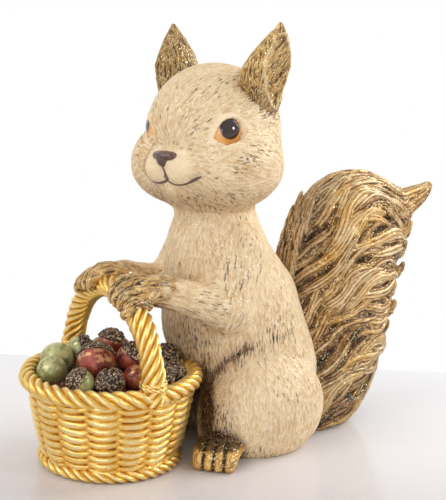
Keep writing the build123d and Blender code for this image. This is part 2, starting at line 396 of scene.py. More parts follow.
def step(x, a, b):
    t = np.clip((x - a) / (b - a), 0, 1)
    return t * t * (3 - 2 * t)


def seg_dist(p, pts):
    """distance from 2-D points to a polyline"""
    best = np.full(len(p), 1e9)
    pts = np.array(pts, float)
    for a, b in zip(pts, pts[1:]):
        ab = b - a
        t = np.clip(((p - a) @ ab) / (ab @ ab), 0, 1)
        best = np.minimum(best, np.linalg.norm(p - a - t[:, None] * ab, axis=1))
    return best


def blob(p, cx, cy, rx, ry, ang=0.0, soft=0.5):
    """soft ellipse in 2-D: 1 inside, 0 outside"""
    c, s = math.cos(math.radians(ang)), math.sin(math.radians(ang))
    x, y = p[:, 0] - cx, p[:, 1] - cy
    u, v = (x * c + y * s) / rx, (-x * s + y * c) / ry
    return 1 - step(np.sqrt(u * u + v * v), 1 - soft, 1 + soft)


# ---------------------------------------------------------------- meshes
def mesh(name, V, F, mat, tris=None, attrs=None, color=None, vn=None):
    me = bpy.data.meshes.new(name)
    F = np.asarray(F, np.int32).reshape(-1, 4)
    tris = np.zeros((0, 3), np.int32) if tris is None else np.asarray(tris, np.int32).reshape(-1, 3)
    used = np.zeros(len(V), bool)
    used[F.ravel()] = True
    used[tris.ravel()] = True
    if not used.all():
        new = np.cumsum(used) - 1
        F, tris, V = new[F], new[tris], V[used]
        attrs = {k: v[used] for k, v in (attrs or {}).items()}
        color = None if color is None else color[used]
        vn = None if vn is None else vn[used]
    me.vertices.add(len(V))
    me.vertices.foreach_set("co", ((V + OFF) / 1000).astype(np.float32).ravel())
    loops = np.concatenate([F.ravel(), tris.ravel()]).astype(np.int32)
    me.loops.add(len(loops))
    me.loops.foreach_set("vertex_index", loops)
    starts = np.concatenate([np.arange(len(F)) * 4, len(F) * 4 + np.arange(len(tris)) * 3]).astype(np.int32)
    me.polygons.add(len(starts))
    me.polygons.foreach_set("loop_start", starts)
    me.update(calc_edges=True)
    me.polygons.foreach_set("use_smooth", np.ones(len(starts), bool))
    for k, v in (attrs or {}).items():
        a = me.attributes.new(k, "FLOAT", "POINT")
        a.data.foreach_set("value", np.asarray(v, np.float32))
    if color is not None:
        a = me.attributes.new("paint", "FLOAT_COLOR", "POINT")
        c = np.ones((len(V), 4), np.float32)
        c[:, :3] = color
        a.data.foreach_set("color", c.ravel())
    if vn is not None:
        me.normals_split_custom_set_from_vertices(vn.astype(np.float32))
    me.materials.append(mat)
    o = bpy.data.objects.new(name, me)
    bpy.context.scene.collection.objects.link(o)
    return o


def piece(o, slot, *nodes):
    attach(o, "root")
    if nodes:
        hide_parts(*nodes)
    return o


def close_holes(V, F, depth):
    """closes each open edge loop with a fan to a point inside"""
    e = np.concatenate([F[:, [0, 1]], F[:, [1, 2]], F[:, [2, 3]], F[:, [3, 0]]])
    n = len(V)
    key = e[:, 0].astype(np.int64) * n + e[:, 1]
    rev = e[:, 1].astype(np.int64) * n + e[:, 0]
    open_ = e[~np.isin(rev, key)]
    if not len(open_):
        return V, np.zeros((0, 3), int)
    # label loops by propagation
    lab = {}
    parent = {}

    def find(a):
        while parent[a] != a:
            parent[a] = parent[parent[a]]
            a = parent[a]
        return a
    for a, b in open_:
        parent.setdefault(int(a), int(a))
        parent.setdefault(int(b), int(b))
        ra, rb = find(int(a)), find(int(b))
        if ra != rb:
            parent[ra] = rb
    groups = {}
    for a, b in open_:
        groups.setdefault(find(int(a)), []).append((int(a), int(b)))
    extra, tris = [], []
    for r, ed in groups.items():
        ids = sorted({a for a, b in ed})
        c = V[ids].mean(0)
        nn = sum(np.cross(V[a] - c, V[b] - c) for a, b in ed)
        nn = nn / (np.linalg.norm(nn) + 1e-9)
        extra.append(c + nn * depth)
        k = len(V) + len(extra) - 1
        tris += [(b, a, k) for a, b in ed]
    return np.vstack([V, extra]), np.array(tris)


# ---------------------------------------------------------------- materials
class Mat:
    def __init__(s, name):
        s.m = bpy.data.materials.new(name)
        s.m.use_nodes = True
        s.t = s.m.node_tree
        s.t.nodes.clear()
        s.out = s.t.nodes.new("ShaderNodeOutputMaterial")
        s.bsdf = s.t.nodes.new("ShaderNodeBsdfPrincipled")
        s.t.links.new(s.bsdf.outputs[0], s.out.inputs[0])
        s.co = s.t.nodes.new("ShaderNodeTexCoord").outputs["Object"]

    def link(s, a, b):
        if hasattr(a, "links"):
            s.t.links.new(a, b)
        else:
            b.default_value = a

    def attr(s, name, color=False):
        n = s.t.nodes.new("ShaderNodeAttribute")
        n.attribute_name = name
        return n.outputs["Color"] if color else n.outputs["Fac"]

    def math(s, op, a, b=0.0, clamp=False):
        n = s.t.nodes.new("ShaderNodeMath")
        n.operation = op
        n.use_clamp = clamp
        s.link(a, n.inputs[0])
        s.link(b, n.inputs[1])
        return n.outputs[0]

    def mixc(s, f, a, b, blend="MIX"):
        n = s.t.nodes.new("ShaderNodeMix")
        n.data_type = "RGBA"
        n.blend_type = blend
        s.link(f, n.inputs[0])
        for v, k in ((a, 6), (b, 7)):
            if hasattr(v, "links"):
                s.link(v, n.inputs[k])
            else:
                n.inputs[k].default_value = (*[float(q) for q in v], 1.0)
        return n.outputs[2]

    def noise(s, size, detail=2.0, rough=0.5, dist=0.0, co=None):
        """size in mm"""
        n = s.t.nodes.new("ShaderNodeTexNoise")
        s.link(s.co if co is None else co, n.inputs["Vector"])
        n.inputs["Scale"].default_value = 1000.0 / size
        n.inputs["Detail"].default_value = detail
        n.inputs["Roughness"].default_value = rough
        n.inputs["Distortion"].default_value = dist
        return n.outputs["Fac"]

    def cells(s, size, co=None):
        n = s.t.nodes.new("ShaderNodeTexVoronoi")
        s.link(s.co if co is None else co, n.inputs["Vector"])
        n.inputs["Scale"].default_value = 1000.0 / size
        return n.outputs["Distance"], n.outputs["Color"]

    def ramp(s, f, stops):
        n = s.t.nodes.new("ShaderNodeValToRGB")
        s.link(f, n.inputs[0])
        r = n.color_ramp
        while len(r.elements) < len(stops):
            r.elements.new(0.5)
        for e, (p, c) in zip(r.elements, stops):
            e.position = p
            c = (c, c, c) if np.isscalar(c) else c
            e.color = (*[float(q) for q in c], 1.0)
        return n.outputs[0]

    def bump(s, h, dist_mm, strength=1.0, normal=None):
        n = s.t.nodes.new("ShaderNodeBump")
        n.inputs["Strength"].default_value = strength
        n.inputs["Distance"].default_value = dist_mm / 1000.0
        s.link(h, n.inputs["Height"])
        if normal is not None:
            s.link(normal, n.inputs["Normal"])
        return n.outputs[0]

    def glitter(s, size, amount, radius=0.42):
        """mask of small round flecks; amount is the share of cells that carry one"""
        dist, col = s.cells(size)
        sep = s.t.nodes.new("ShaderNodeSeparateColor")
        s.link(col, sep.inputs[0])
        on = s.math("LESS_THAN", sep.outputs[0], amount)
        near = s.math("LESS_THAN", dist, radius)
        return s.math("MULTIPLY", on, near), sep.outputs[1]

    def set(s, **kw):
        for k, v in kw.items():
            s.link(v, s.bsdf.inputs[k.replace("_", " ")])
        return s.m


def painted(name, fleck=(1.0, 0.97, 0.88), fleck_size=0.42, fleck_amt=0.05, var=0.10, bump=0.10, rough=0.52, spec=0.35):
    """resin with painted colour, metal and gloss held in the mesh, plus fine grain and glitter flecks"""
    m = Mat(name)
    base = m.attr("paint", True)
    metal = m.attr("metal")
    glit = m.attr("glit")
    grain = m.noise(0.9, 3.0, 0.6)
    fine = m.noise(0.38, 2.0, 0.6)
    tone = m.ramp(grain, [(0.30, 1 - var), (0.5, 1.0), (0.72, 1 + var)])
    base = m.mixc(1.0, base, tone, "MULTIPLY")
    mask, rnd = m.glitter(fleck_size, m.math("MULTIPLY", glit, fleck_amt))
    base = m.mixc(m.math("MULTIPLY", mask, 0.85), base, fleck)
    r = m.math("ADD", m.attr("gloss"), m.math("MULTIPLY", m.math("SUBTRACT", grain, 0.5), 0.25), True)
    r = m.math("MULTIPLY", r, m.math("SUBTRACT", 1.0, m.math("MULTIPLY", mask, 0.6)))
    nrm = m.bump(m.math("ADD", m.math("MULTIPLY", grain, 0.6), m.math("MULTIPLY", fine, 0.4)), bump * 2.2, 0.7)
    m.set(Base_Color=base, Metallic=m.math("MAXIMUM", metal, m.math("MULTIPLY", mask, 0.7)), Roughness=r, Normal=nrm)
    m.bsdf.inputs["Specular IOR Level"].default_value = spec
    return m.m


M_CREAM = painted("cream_resin", fleck_size=0.38, fleck_amt=0.20, var=0.05, bump=0.12, spec=0.12)
M_GOLDBROWN = painted("gold_brown_resin", fleck=(1.0, 0.86, 0.48), fleck_size=0.70, fleck_amt=0.30, var=0.16, bump=0.14, spec=0.4)
M_BASKET = painted("basket_gold", fleck=(1.0, 0.88, 0.55), fleck_amt=0.03, var=0.10, bump=0.05, spec=0.5)
M_NUT = painted("nut_paint", fleck=(1.0, 0.86, 0.62), fleck_amt=0.06, var=0.08, bump=0.03, spec=0.5)
M_CAP = painted("nut_cap", fleck=(1.0, 0.86, 0.60), fleck_size=0.5, fleck_amt=0.35, var=0.25, bump=0.16, spec=0.4)


def attrs(n, metal=0.0, gloss=0.5, glit=0.0):
    return {k: np.broadcast_to(np.asarray(v, float), (n,)).copy() for k, v in (("metal", metal), ("gloss", gloss), ("glit", glit))}


# ---------------------------------------------------------------- the animal's body, arms, feet and head in one sculpt
H = 0.5
rng = np.random.default_rng(7)
ARM = {s: np.array([(s * 20, 57, 98), (s * 28, 46, 73), (s * 17, 16, 82.5), (s * 14, 3, 84)]) for s in (1, -1)}


def rope_z(x):
    return ARCH_Z + math.sqrt(RIM_R ** 2 - x * x)


def finger(x, dx, phis, rr, rad):
    """a finger bundle that wraps the handle: angles from the top towards the front"""
    out = []
    for p in phis:
        a = math.radians(p)
        xx = x + dx * (p + 40) / 160
        out.append((xx, -rr * math.sin(a), rope_z(xx) + rr * math.cos(a)))
    return out


FING = {}
for s in (1, -1):
    FING[s] = [finger(s * ((11.5 if s > 0 else 8.0) + 4.0 * k), s * 1.0, (-42, -12, 16, 44, 70, (92, 86, 72, 52)[k]), 6.7 + 0.25 * (k in (1, 2)), None) for k in range(4)]
FR = [3.2, 3.1, 3.0, 2.8, 2.4, 1.8]
THUMB = {s: [(s * 10.0 + b, 10.0, 86.5), (s * 7.0 + b, 6.6, rope_z(7 + b) + 4.4), (s * 5.2 + b, 3.4, rope_z(5.2 + b) + 6.0), (s * 4.6 + b, -0.5, rope_z(5 + b) + 6.2)] for s, b in ((1, 3.2), (-1, 0.0))}
TOES = {}
TOE_R = [4.3, 3.9, 3.6, 3.2, 2.4]
for s in (1, -1):
    TOES[s] = []
    for k in range(4):
        off = (k - 1.5) * 4.5
        b = np.array([s * (36.4 + 0.72 * off), 35.2 + 0.72 * off, 0])
        d = np.array([s * 0.7071, -0.7071, 0])
        f = 0.3 if k in (0, 3) else 1.0
        TOES[s].append([b - d * 9 + (0, 0, 7.6), b - d * 3.5 + (0, 0, 7.4 + 0.6 * f), b + d * (0.6 + 0.5 * f) + (0, 0, 6.0 + 0.4 * f), b + d * (2.0 + 0.8 * f) + (0, 0, 3.6), b + d * (1.2 + 0.6 * f) + (0, 0, 1.9)])

EYE_PX = [(214.1, 137.9), (215.9, 132.5), (218.7, 126.9), (222.9, 121.6), (227.1, 119.2), (231.6, 118.4), (235.8, 119.8), (238.8, 123.2),
          (240.8, 127.8), (241.2, 133.2), (239.8, 138.4), (237.0, 142.2), (232.3, 145.2), (225.7, 144.4), (219.4, 141.6)]


def eye_outline():
    """directions of the eye opening's edge from the eye centre, in the head frame"""
    c = hp(EYE)
    out = []
    for px, py in EYE_PX:
        d = ray(px, py)
        o = CAM - c
        b = o @ d
        q = b * b - (o @ o - EYE_R ** 2)
        h = CAM + (-b - math.sqrt(max(q, 0))) * d
        l = (h - c) @ HM.T
        out.append(l / np.linalg.norm(l))
    return np.array(out)


EYE_RIM = eye_outline()
EYE_MID = EYE_RIM.mean(0)
EYE_MID /= np.linalg.norm(EYE_MID)
_e1 = np.cross([0, 0, 1.0], EYE_MID)
_e1 /= np.linalg.norm(_e1)
_e2 = np.cross(EYE_MID, _e1)


def eye_plane(q):
    """directions to flat coordinates round the middle of the opening (equal angle, mm on the ball)"""
    q = q / (np.linalg.norm(q, axis=-1, keepdims=True) + 1e-9)
    a = np.arccos(np.clip(q @ EYE_MID, -1, 1))
    x, y = q @ _e1, q @ _e2
    L = np.sqrt(x * x + y * y) + 1e-9
    return np.stack([x / L * a * EYE_R, y / L * a * EYE_R], -1)


EYE_POLY = eye_plane(EYE_RIM)


def poly_sd(p, poly):
    """signed distance to a closed polygon, negative inside"""
    n = len(poly)
    d = np.full(len(p), 1e9)
    ins = np.zeros(len(p), bool)
    for i in range(n):
        a, b = poly[i], poly[(i + 1) % n]
        ab = b - a
        t = np.clip(((p - a) @ ab) / (ab @ ab), 0, 1)
        d = np.minimum(d, np.linalg.norm(p - a - t[:, None] * ab, axis=1))
        c = ((a[1] > p[:, 1]) != (b[1] > p[:, 1])) & (p[:, 0] < (b[0] - a[0]) * (p[:, 1] - a[1]) / (b[1] - a[1] + 1e-12) + a[0])
        ins ^= c
    return np.where(ins, -d, d)


def catmull(P, n=6, closed=False):
    P = np.array(P, float)
    out = []
    m = len(P)
    for i in range(m if closed else m - 1):
        if closed:
            p0, p1, p2, p3 = P[(i - 1) % m], P[i], P[(i + 1) % m], P[(i + 2) % m]
        else:
            p0, p1, p2, p3 = P[max(i - 1, 0)], P[i], P[i + 1], P[min(i + 2, m - 1)]
        for t in np.arange(n) / n:
            out.append(0.5 * (2 * p1 + (p2 - p0) * t + (2 * p0 - 5 * p1 + 4 * p2 - p3) * t * t + (3 * p1 - p0 - 3 * p2 + p3) * t ** 3))
    if not closed:
        out.append(P[-1])
    return np.array(out)


g = Grid((-50, -13, -2.0), (51, 117, 186), H)
# trunk
ell(g, (0, 78, 33), (33, 34.5, 34.5))
ell(g, (0, 66, 62), (31, 35, 36), 12)
ell(g, (0, 56, 92), (22, 25, 27), 12)
tube(g, [(0, 55, 95), (0, 55, 124)], [18, 16.5], 10)
for s in (1, -1):
    ell(g, (s * 26, 72, 21), (19, 30, 27), 3)
    ell(g, (s * 22, 49, 17), (17, 12, 21), 6)
# upper arms flow into the shoulders, forearms stand clear
for s in (1, -1):
    a = ARM[s]
    tube(g, a[:2], [12, 10], 8)
    tube(g, [a[1], a[2], a[3]], [9.6, 6.9, 6.4], 4, kin=3)
say("trunk")
# head
he = lambda c, r, k=0.0, op="add": ell(g, hp(c), r, k, op, HM)
he((0, 0, 2.0), (31, 31, 29.6), 3)
he((-0.3, -2.6, -15), (38.0, 27.6, 21), 9)
for s in (1, -1):
    he((s * 20.5, -8.6, -16), (18.2, 18.8, 16.8), 7)
he((0, -24, -24), (9, 8, 6), 6)
he((-20.3, -27, -0.5), (6.8, 6.8, 10.5), 3, "cut")
for s in (1, -1):
    he((s * 6.6, -27.6, -15), (8.3, 8.7, 7.9), 2.2)
he((0, -30.5, -10.5), (6.4, 6, 4.2), 3)
# eye sockets and lids
for s in (1, -1):
    mir = np.array([s, 1, 1.0])
    c = hp(EYE * mir)
    poly = EYE_POLY * np.where((EYE_POLY[:, :1] < 0) & (s < 0), [[1.7, 1.0]], 1.0) * np.where((EYE_POLY[:, :1] > 0) & (EYE_POLY[:, 1:] < 0) & (s < 0), 0.45, 1.0)
    rim = catmull(poly, 3, True)
    cen = rim.mean(0)
    ring = []
    for q in rim:
        v = q - cen
        L = np.linalg.norm(v)
        q = q + v / L * 0.8
        a = np.linalg.norm(q) / EYE_R
        dr = EYE_MID * math.cos(a) + (_e1 * q[0] + _e2 * q[1]) / (np.linalg.norm(q) + 1e-9) * math.sin(a)
        ring.append(hp((EYE + dr * (EYE_R + 0.1)) * mir))
    ring.append(ring[0])
    tube(g, ring, 1.15, 1.2)
    e = np.full(3, 13.0)
    sl, X, Y, Z = g.win(c - e, c + e)
    X, Y, Z = np.broadcast_arrays(X, Y, Z)
    P = np.stack([X.ravel(), Y.ravel(), Z.ravel()], -1).astype(float)
    q = hl(P) * mir - EYE
    rad = np.linalg.norm(q, axis=1)
    near = (rad < 12.5) & (rad > 5)
    sd = np.full(len(P), 5.0)
    front = near & ((q @ EYE_MID) > 0)
    sd[front] = poly_sd(eye_plane(q[front]), poly) * rad[front] / EYE_R
    sd[rad <= 5] = -4
    cut = np.maximum(sd, rad - 12.5).reshape(X.shape)
    merge(g, sl, cut, 0.5, "cut")
    ell(g, c, (EYE_R - 0.35,) * 3, 0.0, "cut")
say("head")
# fingers, thumbs, toes
for s in (1, -1):
    ell(g, (s * 14.0 + (2.4 if s > 0 else 0), 5.0, 84.0), (8.6, 7.2, 5.9), 3)
    for k, f in enumerate(FING[s]):
        tube(g, f, FR, 0.35, kin=1.2)
    tube(g, THUMB[s], [3.2, 2.9, 2.7, 2.2], 0.8, kin=1.2)
    for k, t in enumerate(TOES[s]):
        tube(g, t, TOE_R, 0.12, kin=1.5)
# room for the handle
th = np.radians(np.arange(20, 161, 7))
tube(g, np.stack([RIM_R * np.cos(th), 0 * th, ARCH_Z + RIM_R * np.sin(th)], -1), 3.9, 0.3, "cut")
g.d = np.maximum(g.d, -g.ax[2][None, None, :] + 0.0)
V, F = nets(g)
N, _ = grad(g, V, 0.9)
say("sculpt", len(V), len(F))

# --- labels
lab = np.zeros(len(V), int)                       # 0 trunk, 1 head, 2/3 arms, 4/5 feet
lab[V[:, 2] > 116.0] = 1


def chain_dist(P, pts, rad):
    best = np.full(len(P), 1e9)
    tt = np.zeros(len(P))
    dd = np.zeros((len(P), 3))
    pts = np.array(pts, float)
    rad = np.broadcast_to(rad, (len(pts),))
    for i in range(len(pts) - 1):
        a, b = pts[i], pts[i + 1]
        ab = b - a
        t = np.clip(((P - a) @ ab) / (ab @ ab), 0, 1)
        d = np.linalg.norm(P - a - t[:, None] * ab, axis=1) - (rad[i] + (rad[i + 1] - rad[i]) * t)
        m = d < best
        best[m] = d[m]
        tt[m] = (i + t)[m]
        dd[m] = ab / np.linalg.norm(ab)
    return best, tt, dd


def trunk_dist(P):
    best = np.full(len(P), 1e9)
    for c, r in (((0, 78, 33), (33, 34.5, 34.5)), ((0, 66, 62), (31, 35, 36)), ((0, 56, 92), (22, 25, 27))):
        q = (P - c) / r
        k0 = np.linalg.norm(q, axis=1)
        k1 = np.linalg.norm(q / r, axis=1) + 1e-6
        best = np.minimum(best, k0 * (k0 - 1) / k1)
    return best


td = trunk_dist(V)
arm_t = np.full(len(V), -1.0)
W = np.tile(np.array([0.0, 0.0, -1.0]), (len(V), 1))
W[:, 0] += 0.12 * np.sign(V[:, 0]) * step(np.abs(V[:, 0]), 3, 20)
W[:, 1] += 0.12 * (V[:, 1] > 60)
toe_gap = np.zeros(len(V))
hand_gap = np.zeros(len(V))
for s, la in ((1, 2), (-1, 3)):
    side = V[:, 0] * s > 0
    d1, t1, dr = chain_dist(V, ARM[s], [12, 10, 6.9, 6.4])
    d2, t2, _ = chain_dist(V, THUMB[s], 3.0)
    hand = (V[:, 1] < 12) & (V[:, 2] > 62) & (V[:, 2] < 110)
    m = side & (lab == 0) & (((d1 < td + 0.6) & (V[:, 2] < 100)) | hand) & (V[:, 1] < 62)
    lab[m] = la
    tau = np.where(hand, np.clip(2.3 + (12 - V[:, 1]) / 14, 2.2, 3.0), t1)
    arm_t[m] = tau[m]
    on = side & (lab != 1) & (d1 < 9)
    wgt = np.where(t1 < 1, 0.55, 1.0) * (1 - step(d1, 1.0, 6.0)) * (V[:, 2] < 112)
    W[on] = W[on] * (1 - wgt[on])[:, None] + dr[on] * wgt[on][:, None]
    hm = side & hand
    W[hm] = np.array([-0.30, -1.0, -0.30])
    fb = np.full(len(V), 1e9)
    f2 = fb.copy()
    for f in FING[s]:
        b, _, dr_ = chain_dist(V, f, FR)
        m2 = (b < fb) & (b < 2.2) & hm
        W[m2] = dr_[m2]
        f2 = np.minimum(f2, np.maximum(fb, b))
        fb = np.minimum(fb, b)
    hand_gap = np.maximum(hand_gap, hm * (1 - step(f2 - fb, 0.25, 1.1)) * (fb < 1.4))
    # lab the feet
    best = np.full(len(V), 1e9)
    second = best.copy()
    for t in TOES[s]:
        b, _, _ = chain_dist(V, t, TOE_R)
        second = np.minimum(second, np.maximum(best, b))
        best = np.minimum(best, b)
    toe_gap = np.maximum(toe_gap, (V[:, 0] * s > 0) * (1 - step(second - best, 0.35, 1.3)) * (best < 1.6) * (V[:, 1] < 44))
    fm = side & (best < 1.3) & (V[:, 2] < 17) & (V[:, 1] < 52)
    lab[fm] = 4 if s > 0 else 5
    W[fm] = np.array([0.7071 * s, -0.7071, -0.6])
q = hl(V)
hm = lab == 1
nose0 = np.array([0, -38.0, -10.0])
wh = q - nose0
wh = wh / np.linalg.norm(wh, axis=1, keepdims=True) + np.array([0, 0, -0.10])
under = step(-q[:, 2], 22, 32)[:, None]
wh = wh * (1 - under) + np.array([0, 0.55, -0.8]) * under
W[hm] = (wh @ HM)[hm]
D = tangent(W + 0.18 * (rng.random((len(V), 3)) - 0.5), N)

# --- stroke strength: smooth lids and muzzle
aq = q * np.array([1, 1, 1.0])
aq[:, 0] = np.abs(aq[:, 0])
de = np.linalg.norm(aq - EYE, axis=1)
near_eye = de < 16
eye_sd = poly_sd(eye_plane((aq - EYE)[near_eye]), EYE_POLY)
rim_line = []
for q2 in catmull(EYE_POLY, 4, True):
    a = np.linalg.norm(q2) / EYE_R
    rim_line.append(EYE + (EYE_MID * math.cos(a) + (_e1 * q2[0] + _e2 * q2[1]) / (np.linalg.norm(q2) + 1e-9) * math.sin(a)) * EYE_R)
to_rim = np.full(near_eye.sum(), 1e9)
for r3 in rim_line:
    to_rim = np.minimum(to_rim, np.linalg.norm(aq[near_eye] - r3, axis=1))
esd = np.full(len(V), 30.0)
esd[near_eye] = np.where((eye_sd < 0) & (de[near_eye] < 10.5), -to_rim, to_rim)
near_lid = 1 - step(esd, 1.8, 3.6)
near_lid[~hm] = 0
muz = np.where(hm, 1 - step(np.linalg.norm((aq - [5.5, -32, -14]) / [10.5, 11, 10], axis=1), 0.6, 1.1), 0)
soft = np.clip(1 - 0.92 * near_lid - 0.72 * muz, 0.06, 1)

# --- where the near side lies in the picture, both sides alike
Pm = V.copy()
Pm[:, 0] = np.abs(Pm[:, 0])
Nm = N.copy()
Nm[:, 0] = np.where(V[:, 0] < 0, -N[:, 0], N[:, 0])
Pm[hm] = hp(aq[hm])
nq = N[hm] @ HM.T
nq[:, 0] = np.where(q[hm, 0] < 0, -nq[:, 0], nq[:, 0])
Nm[hm] = nq @ HM
px = proj(Pm)
vd = CAM - Pm
vd /= np.linalg.norm(vd, axis=1, keepdims=True)
facing = step((Nm * vd).sum(1), -0.05, 0.25)

def pick(weight, n):
    w = weight / weight.sum()
    return rng.choice(len(V), n, p=w)


amt = 1.0
isgold = (lab >= 4) | ((lab >= 2) & (lab <= 3) & (arm_t > 2.2))
# fur strokes
w_ = np.ones(len(V))
nS = int(52000 * amt)
ids = pick(w_, nS)
Lr = rng.uniform(2.6, 5.2, nS)
Lr[isgold[ids]] = rng.uniform(4.0, 7.5, isgold[ids].sum())
Wd = rng.uniform(0.34, 0.52, nS)
Wd[isgold[ids]] = rng.uniform(0.50, 0.72, isgold[ids].sum())
fur = strokes(V, N, V[ids], D[ids], Lr, Wd, rng.uniform(0.55, 1.0, nS), 0.4, rng.uniform(-0.06, 0.06, nS))
say("fur")
amp = 0.44 * soft
amp[isgold] = 0.95
low = noise(V, 9.0, 3, 2) - 0.5
V2 = V + N * (fur * amp - 0.55 * amp + 0.5 * low * soft)[:, None]
V2[:, 2] = np.maximum(V2[:, 2], 0.0)
flat = V[:, 2] < 0.02
cav = 1 - fur

# --- dark dashes of paint
dens = np.zeros(len(V))
CREASE = [(212, 377), (218, 371), (226, 363), (236, 356), (249, 349)]
CREASE2 = [(249, 349), (262, 345), (276, 340), (288, 335)]
LOWLINE = [(236, 367), (250, 363), (275, 360), (301, 356)]
dc1, dc2, dl = seg_dist(px, CREASE), seg_dist(px, CREASE2), seg_dist(px, LOWLINE)
body = lab == 0
dens += body * (2.0 * (1 - step(dc1, 1, 7)) + 0.62 * (1 - step(dc2, 1, 12)) + 0.4 * (1 - step(dl, 1, 4)))
for c in ((283, 326, 20, 10, -20, 0.28), (300, 385, 26, 16, 0, 0.22), (250, 452, 26, 8, 10, 0.55), (222, 425, 8, 26, -8, 0.9),
          (205, 400, 8, 50, 0, 1.2), (242, 232, 8, 26, 0, 0.12), (195, 345, 16, 22, 0, 0.5), (240, 296, 20, 12, 0, 0.05), (262, 250, 30, 60, 0, 0.02)):
    dens += body * c[5] * blob(px, *c[:5])
for c in ((248, 160, 17, 8, -35, 0.7), (268, 150, 12, 14, -40, 0.22), (205, 206, 26, 8, 20, 0.55), (232, 196, 26, 9, -10, 0.20), (222, 84, 20, 5, -30, 0.22),
          (250, 80, 11, 12, 60, 1.3), (260, 96, 15, 8, 40, 1.7), (273, 112, 9, 8, 40, 1.3), (196, 122, 10, 14, -50, 0.15), (176, 140, 12, 8, 0, 0.12),
          (200, 100, 34, 26, 0, 0.05), (150, 190, 20, 12, 40, 0.25), (202, 178, 5, 4, 0, 0.4), (225, 150, 60, 50, 0, 0.03)):
    dens += hm * c[5] * blob(px, *c[:5])
armm = (lab == 2) | (lab == 3)
lowarm = [(149, 308), (155, 309), (165, 315), (179, 323), (195, 331), (205, 334)]
dla = seg_dist(px, lowarm)
dens += armm * (2.4 * (1 - step(dla, 2, 11)) * step(-px[:, 0], -200, -156) + 0.10)
dens *= facing
dens += 0.012 * (lab < 4)
dens *= np.clip(1 - 1.2 * near_lid, 0, 1) * np.clip(1 - 0.9 * muz, 0, 1)
nD = int(min(4200, 0.26 * dens.sum() * H * H))
ids = pick(dens + 1e-9, nD)
long_ = 1 + 0.7 * ((np.minimum(dc1, dc2)[ids] < 10) | (hm[ids] & (np.hypot(px[ids, 0] - 259, px[ids, 1] - 92) < 28)) | armm[ids])
dash = strokes(V, N, V[ids], D[ids], rng.uniform(1.5, 3.0, nD) * long_, rng.uniform(0.22, 0.34, nD), rng.uniform(0.4, 1.0, nD), 0.0, 0.0, 0.6)
say("dashes", nD)

# --- paint
def ell_dist(P, cc_, r_):
    k0_ = np.linalg.norm((P - cc_) / r_, axis=1)
    return k0_ * (k0_ - 1) / (np.linalg.norm((P - cc_) / np.square(r_), axis=1) + 1e-6)


dpad = ell_dist(q, np.array([-6.6, -27.6, -15]), np.array([8.3, 8.7, 7.9]))
djaw = ell_dist(q, np.array([-0.3, -2.6, -15]), np.array([38.0, 27.6, 21]))
# painted shade: brownish tint along the crease where the far muzzle pad meets the jaw
pad_crease_shade = hm * (q[:, 0] < -3) * (1 - step(np.abs(dpad - djaw - 0.6), 0.3, 1.8)) * (dpad < 4) * (q[:, 2] < -4)
cream_hi, cream, cream_lo = lin(251, 235, 203), lin(240, 215, 174), lin(199, 159, 108)
n1, n2 = noise(V, 14, 11, 2), noise(V, 3.0, 12, 2)
c = mix(np.tile(cream_hi, (len(V), 1)), cream, np.clip(0.25 + 0.9 * (n2 - 0.3), 0, 1))
c = mix(c, cream_lo, np.clip((cav - 0.24) * 1.7, 0, 1) * (0.45 + 0.5 * n1) * (0.15 + 0.85 * soft))
# a faint tan tone on the chest; painted shade on the belly under the arms and behind the basket, and on the throat
# under the chin
chest = body * blob(px, 190, 256, 26, 34, 0, 0.4) * facing
belly_shade = body * blob(px, 172, 340, 30, 42, 0, 0.4) * facing
chest = np.maximum(chest, body * step(-Nm[:, 1], 0.45, 0.9) * step(V[:, 2], 46, 70) * 0.8)
belly_shade = np.maximum(belly_shade, body * step(-Nm[:, 1], 0.25, 0.8) * (1 - step(V[:, 2], 46, 74)) * step(-V[:, 1], -62, -48))
c = mix(c, mix(np.tile(lin(216, 184, 144), (len(V), 1)), lin(150, 116, 80), np.clip(cav * 1.1 - 0.2, 0, 1)), 0.06 * chest)
c = mix(c, mix(np.tile(lin(204, 170, 130), (len(V), 1)), lin(122, 88, 56), np.clip(cav * 1.3 - 0.2, 0, 1)), 0.34 * belly_shade)
throat_shade = hm * step(-q[:, 2], 18, 30) * (0.5 + 0.5 * n1)
c = mix(c, mix(np.tile(lin(222, 190, 148), (len(V), 1)), lin(150, 112, 72), np.clip(cav, 0, 1)), 0.55 * throat_shade)
# painted shade: darker brown along the thigh crease
crease_shade = body * (1 - step(dc1, 2, 14)) * facing * 0.6
c = mix(c, lin(168, 132, 96), crease_shade * np.clip(cav + 0.2, 0, 1))
# painted shade: deep brown behind the basket and in the thigh crease; deep brown round the foot
dark_brown_and_shade = body * np.maximum.reduce([blob(px, 207, 410, 8, 42, -2, 0.5), blob(px, 214, 444, 25, 9, 0, 0.5), 0.8 * blob(px, 239, 452, 7, 12, -20, 0.5), 0.5 * (1 - step(dc1, 0, 4.5))]) * facing
dark_brown_and_shade = np.maximum(dark_brown_and_shade, body * (1 - step(V[:, 2], 30, 50)) * (1 - step(V[:, 1], 44, 54)) * (1 - step(np.abs(V[:, 0]), 12, 19)))
near_foot = np.zeros(len(V))
for s in (1, -1):
    fd = np.linalg.norm((V - [s * 33, 40, 7]) / [13, 12, 11], axis=1)
    near_foot = np.maximum(near_foot, (1 - step(fd, 0.75, 1.2)) * (V[:, 0] * s > 0))
dark_brown_and_shade = np.clip(np.maximum(dark_brown_and_shade, body * near_foot), 0, 1)
c = mix(c, mix(np.tile(lin(136, 96, 52), (len(V), 1)), lin(44, 28, 16), np.clip(cav * 1.8 - 0.25, 0, 1)), dark_brown_and_shade)
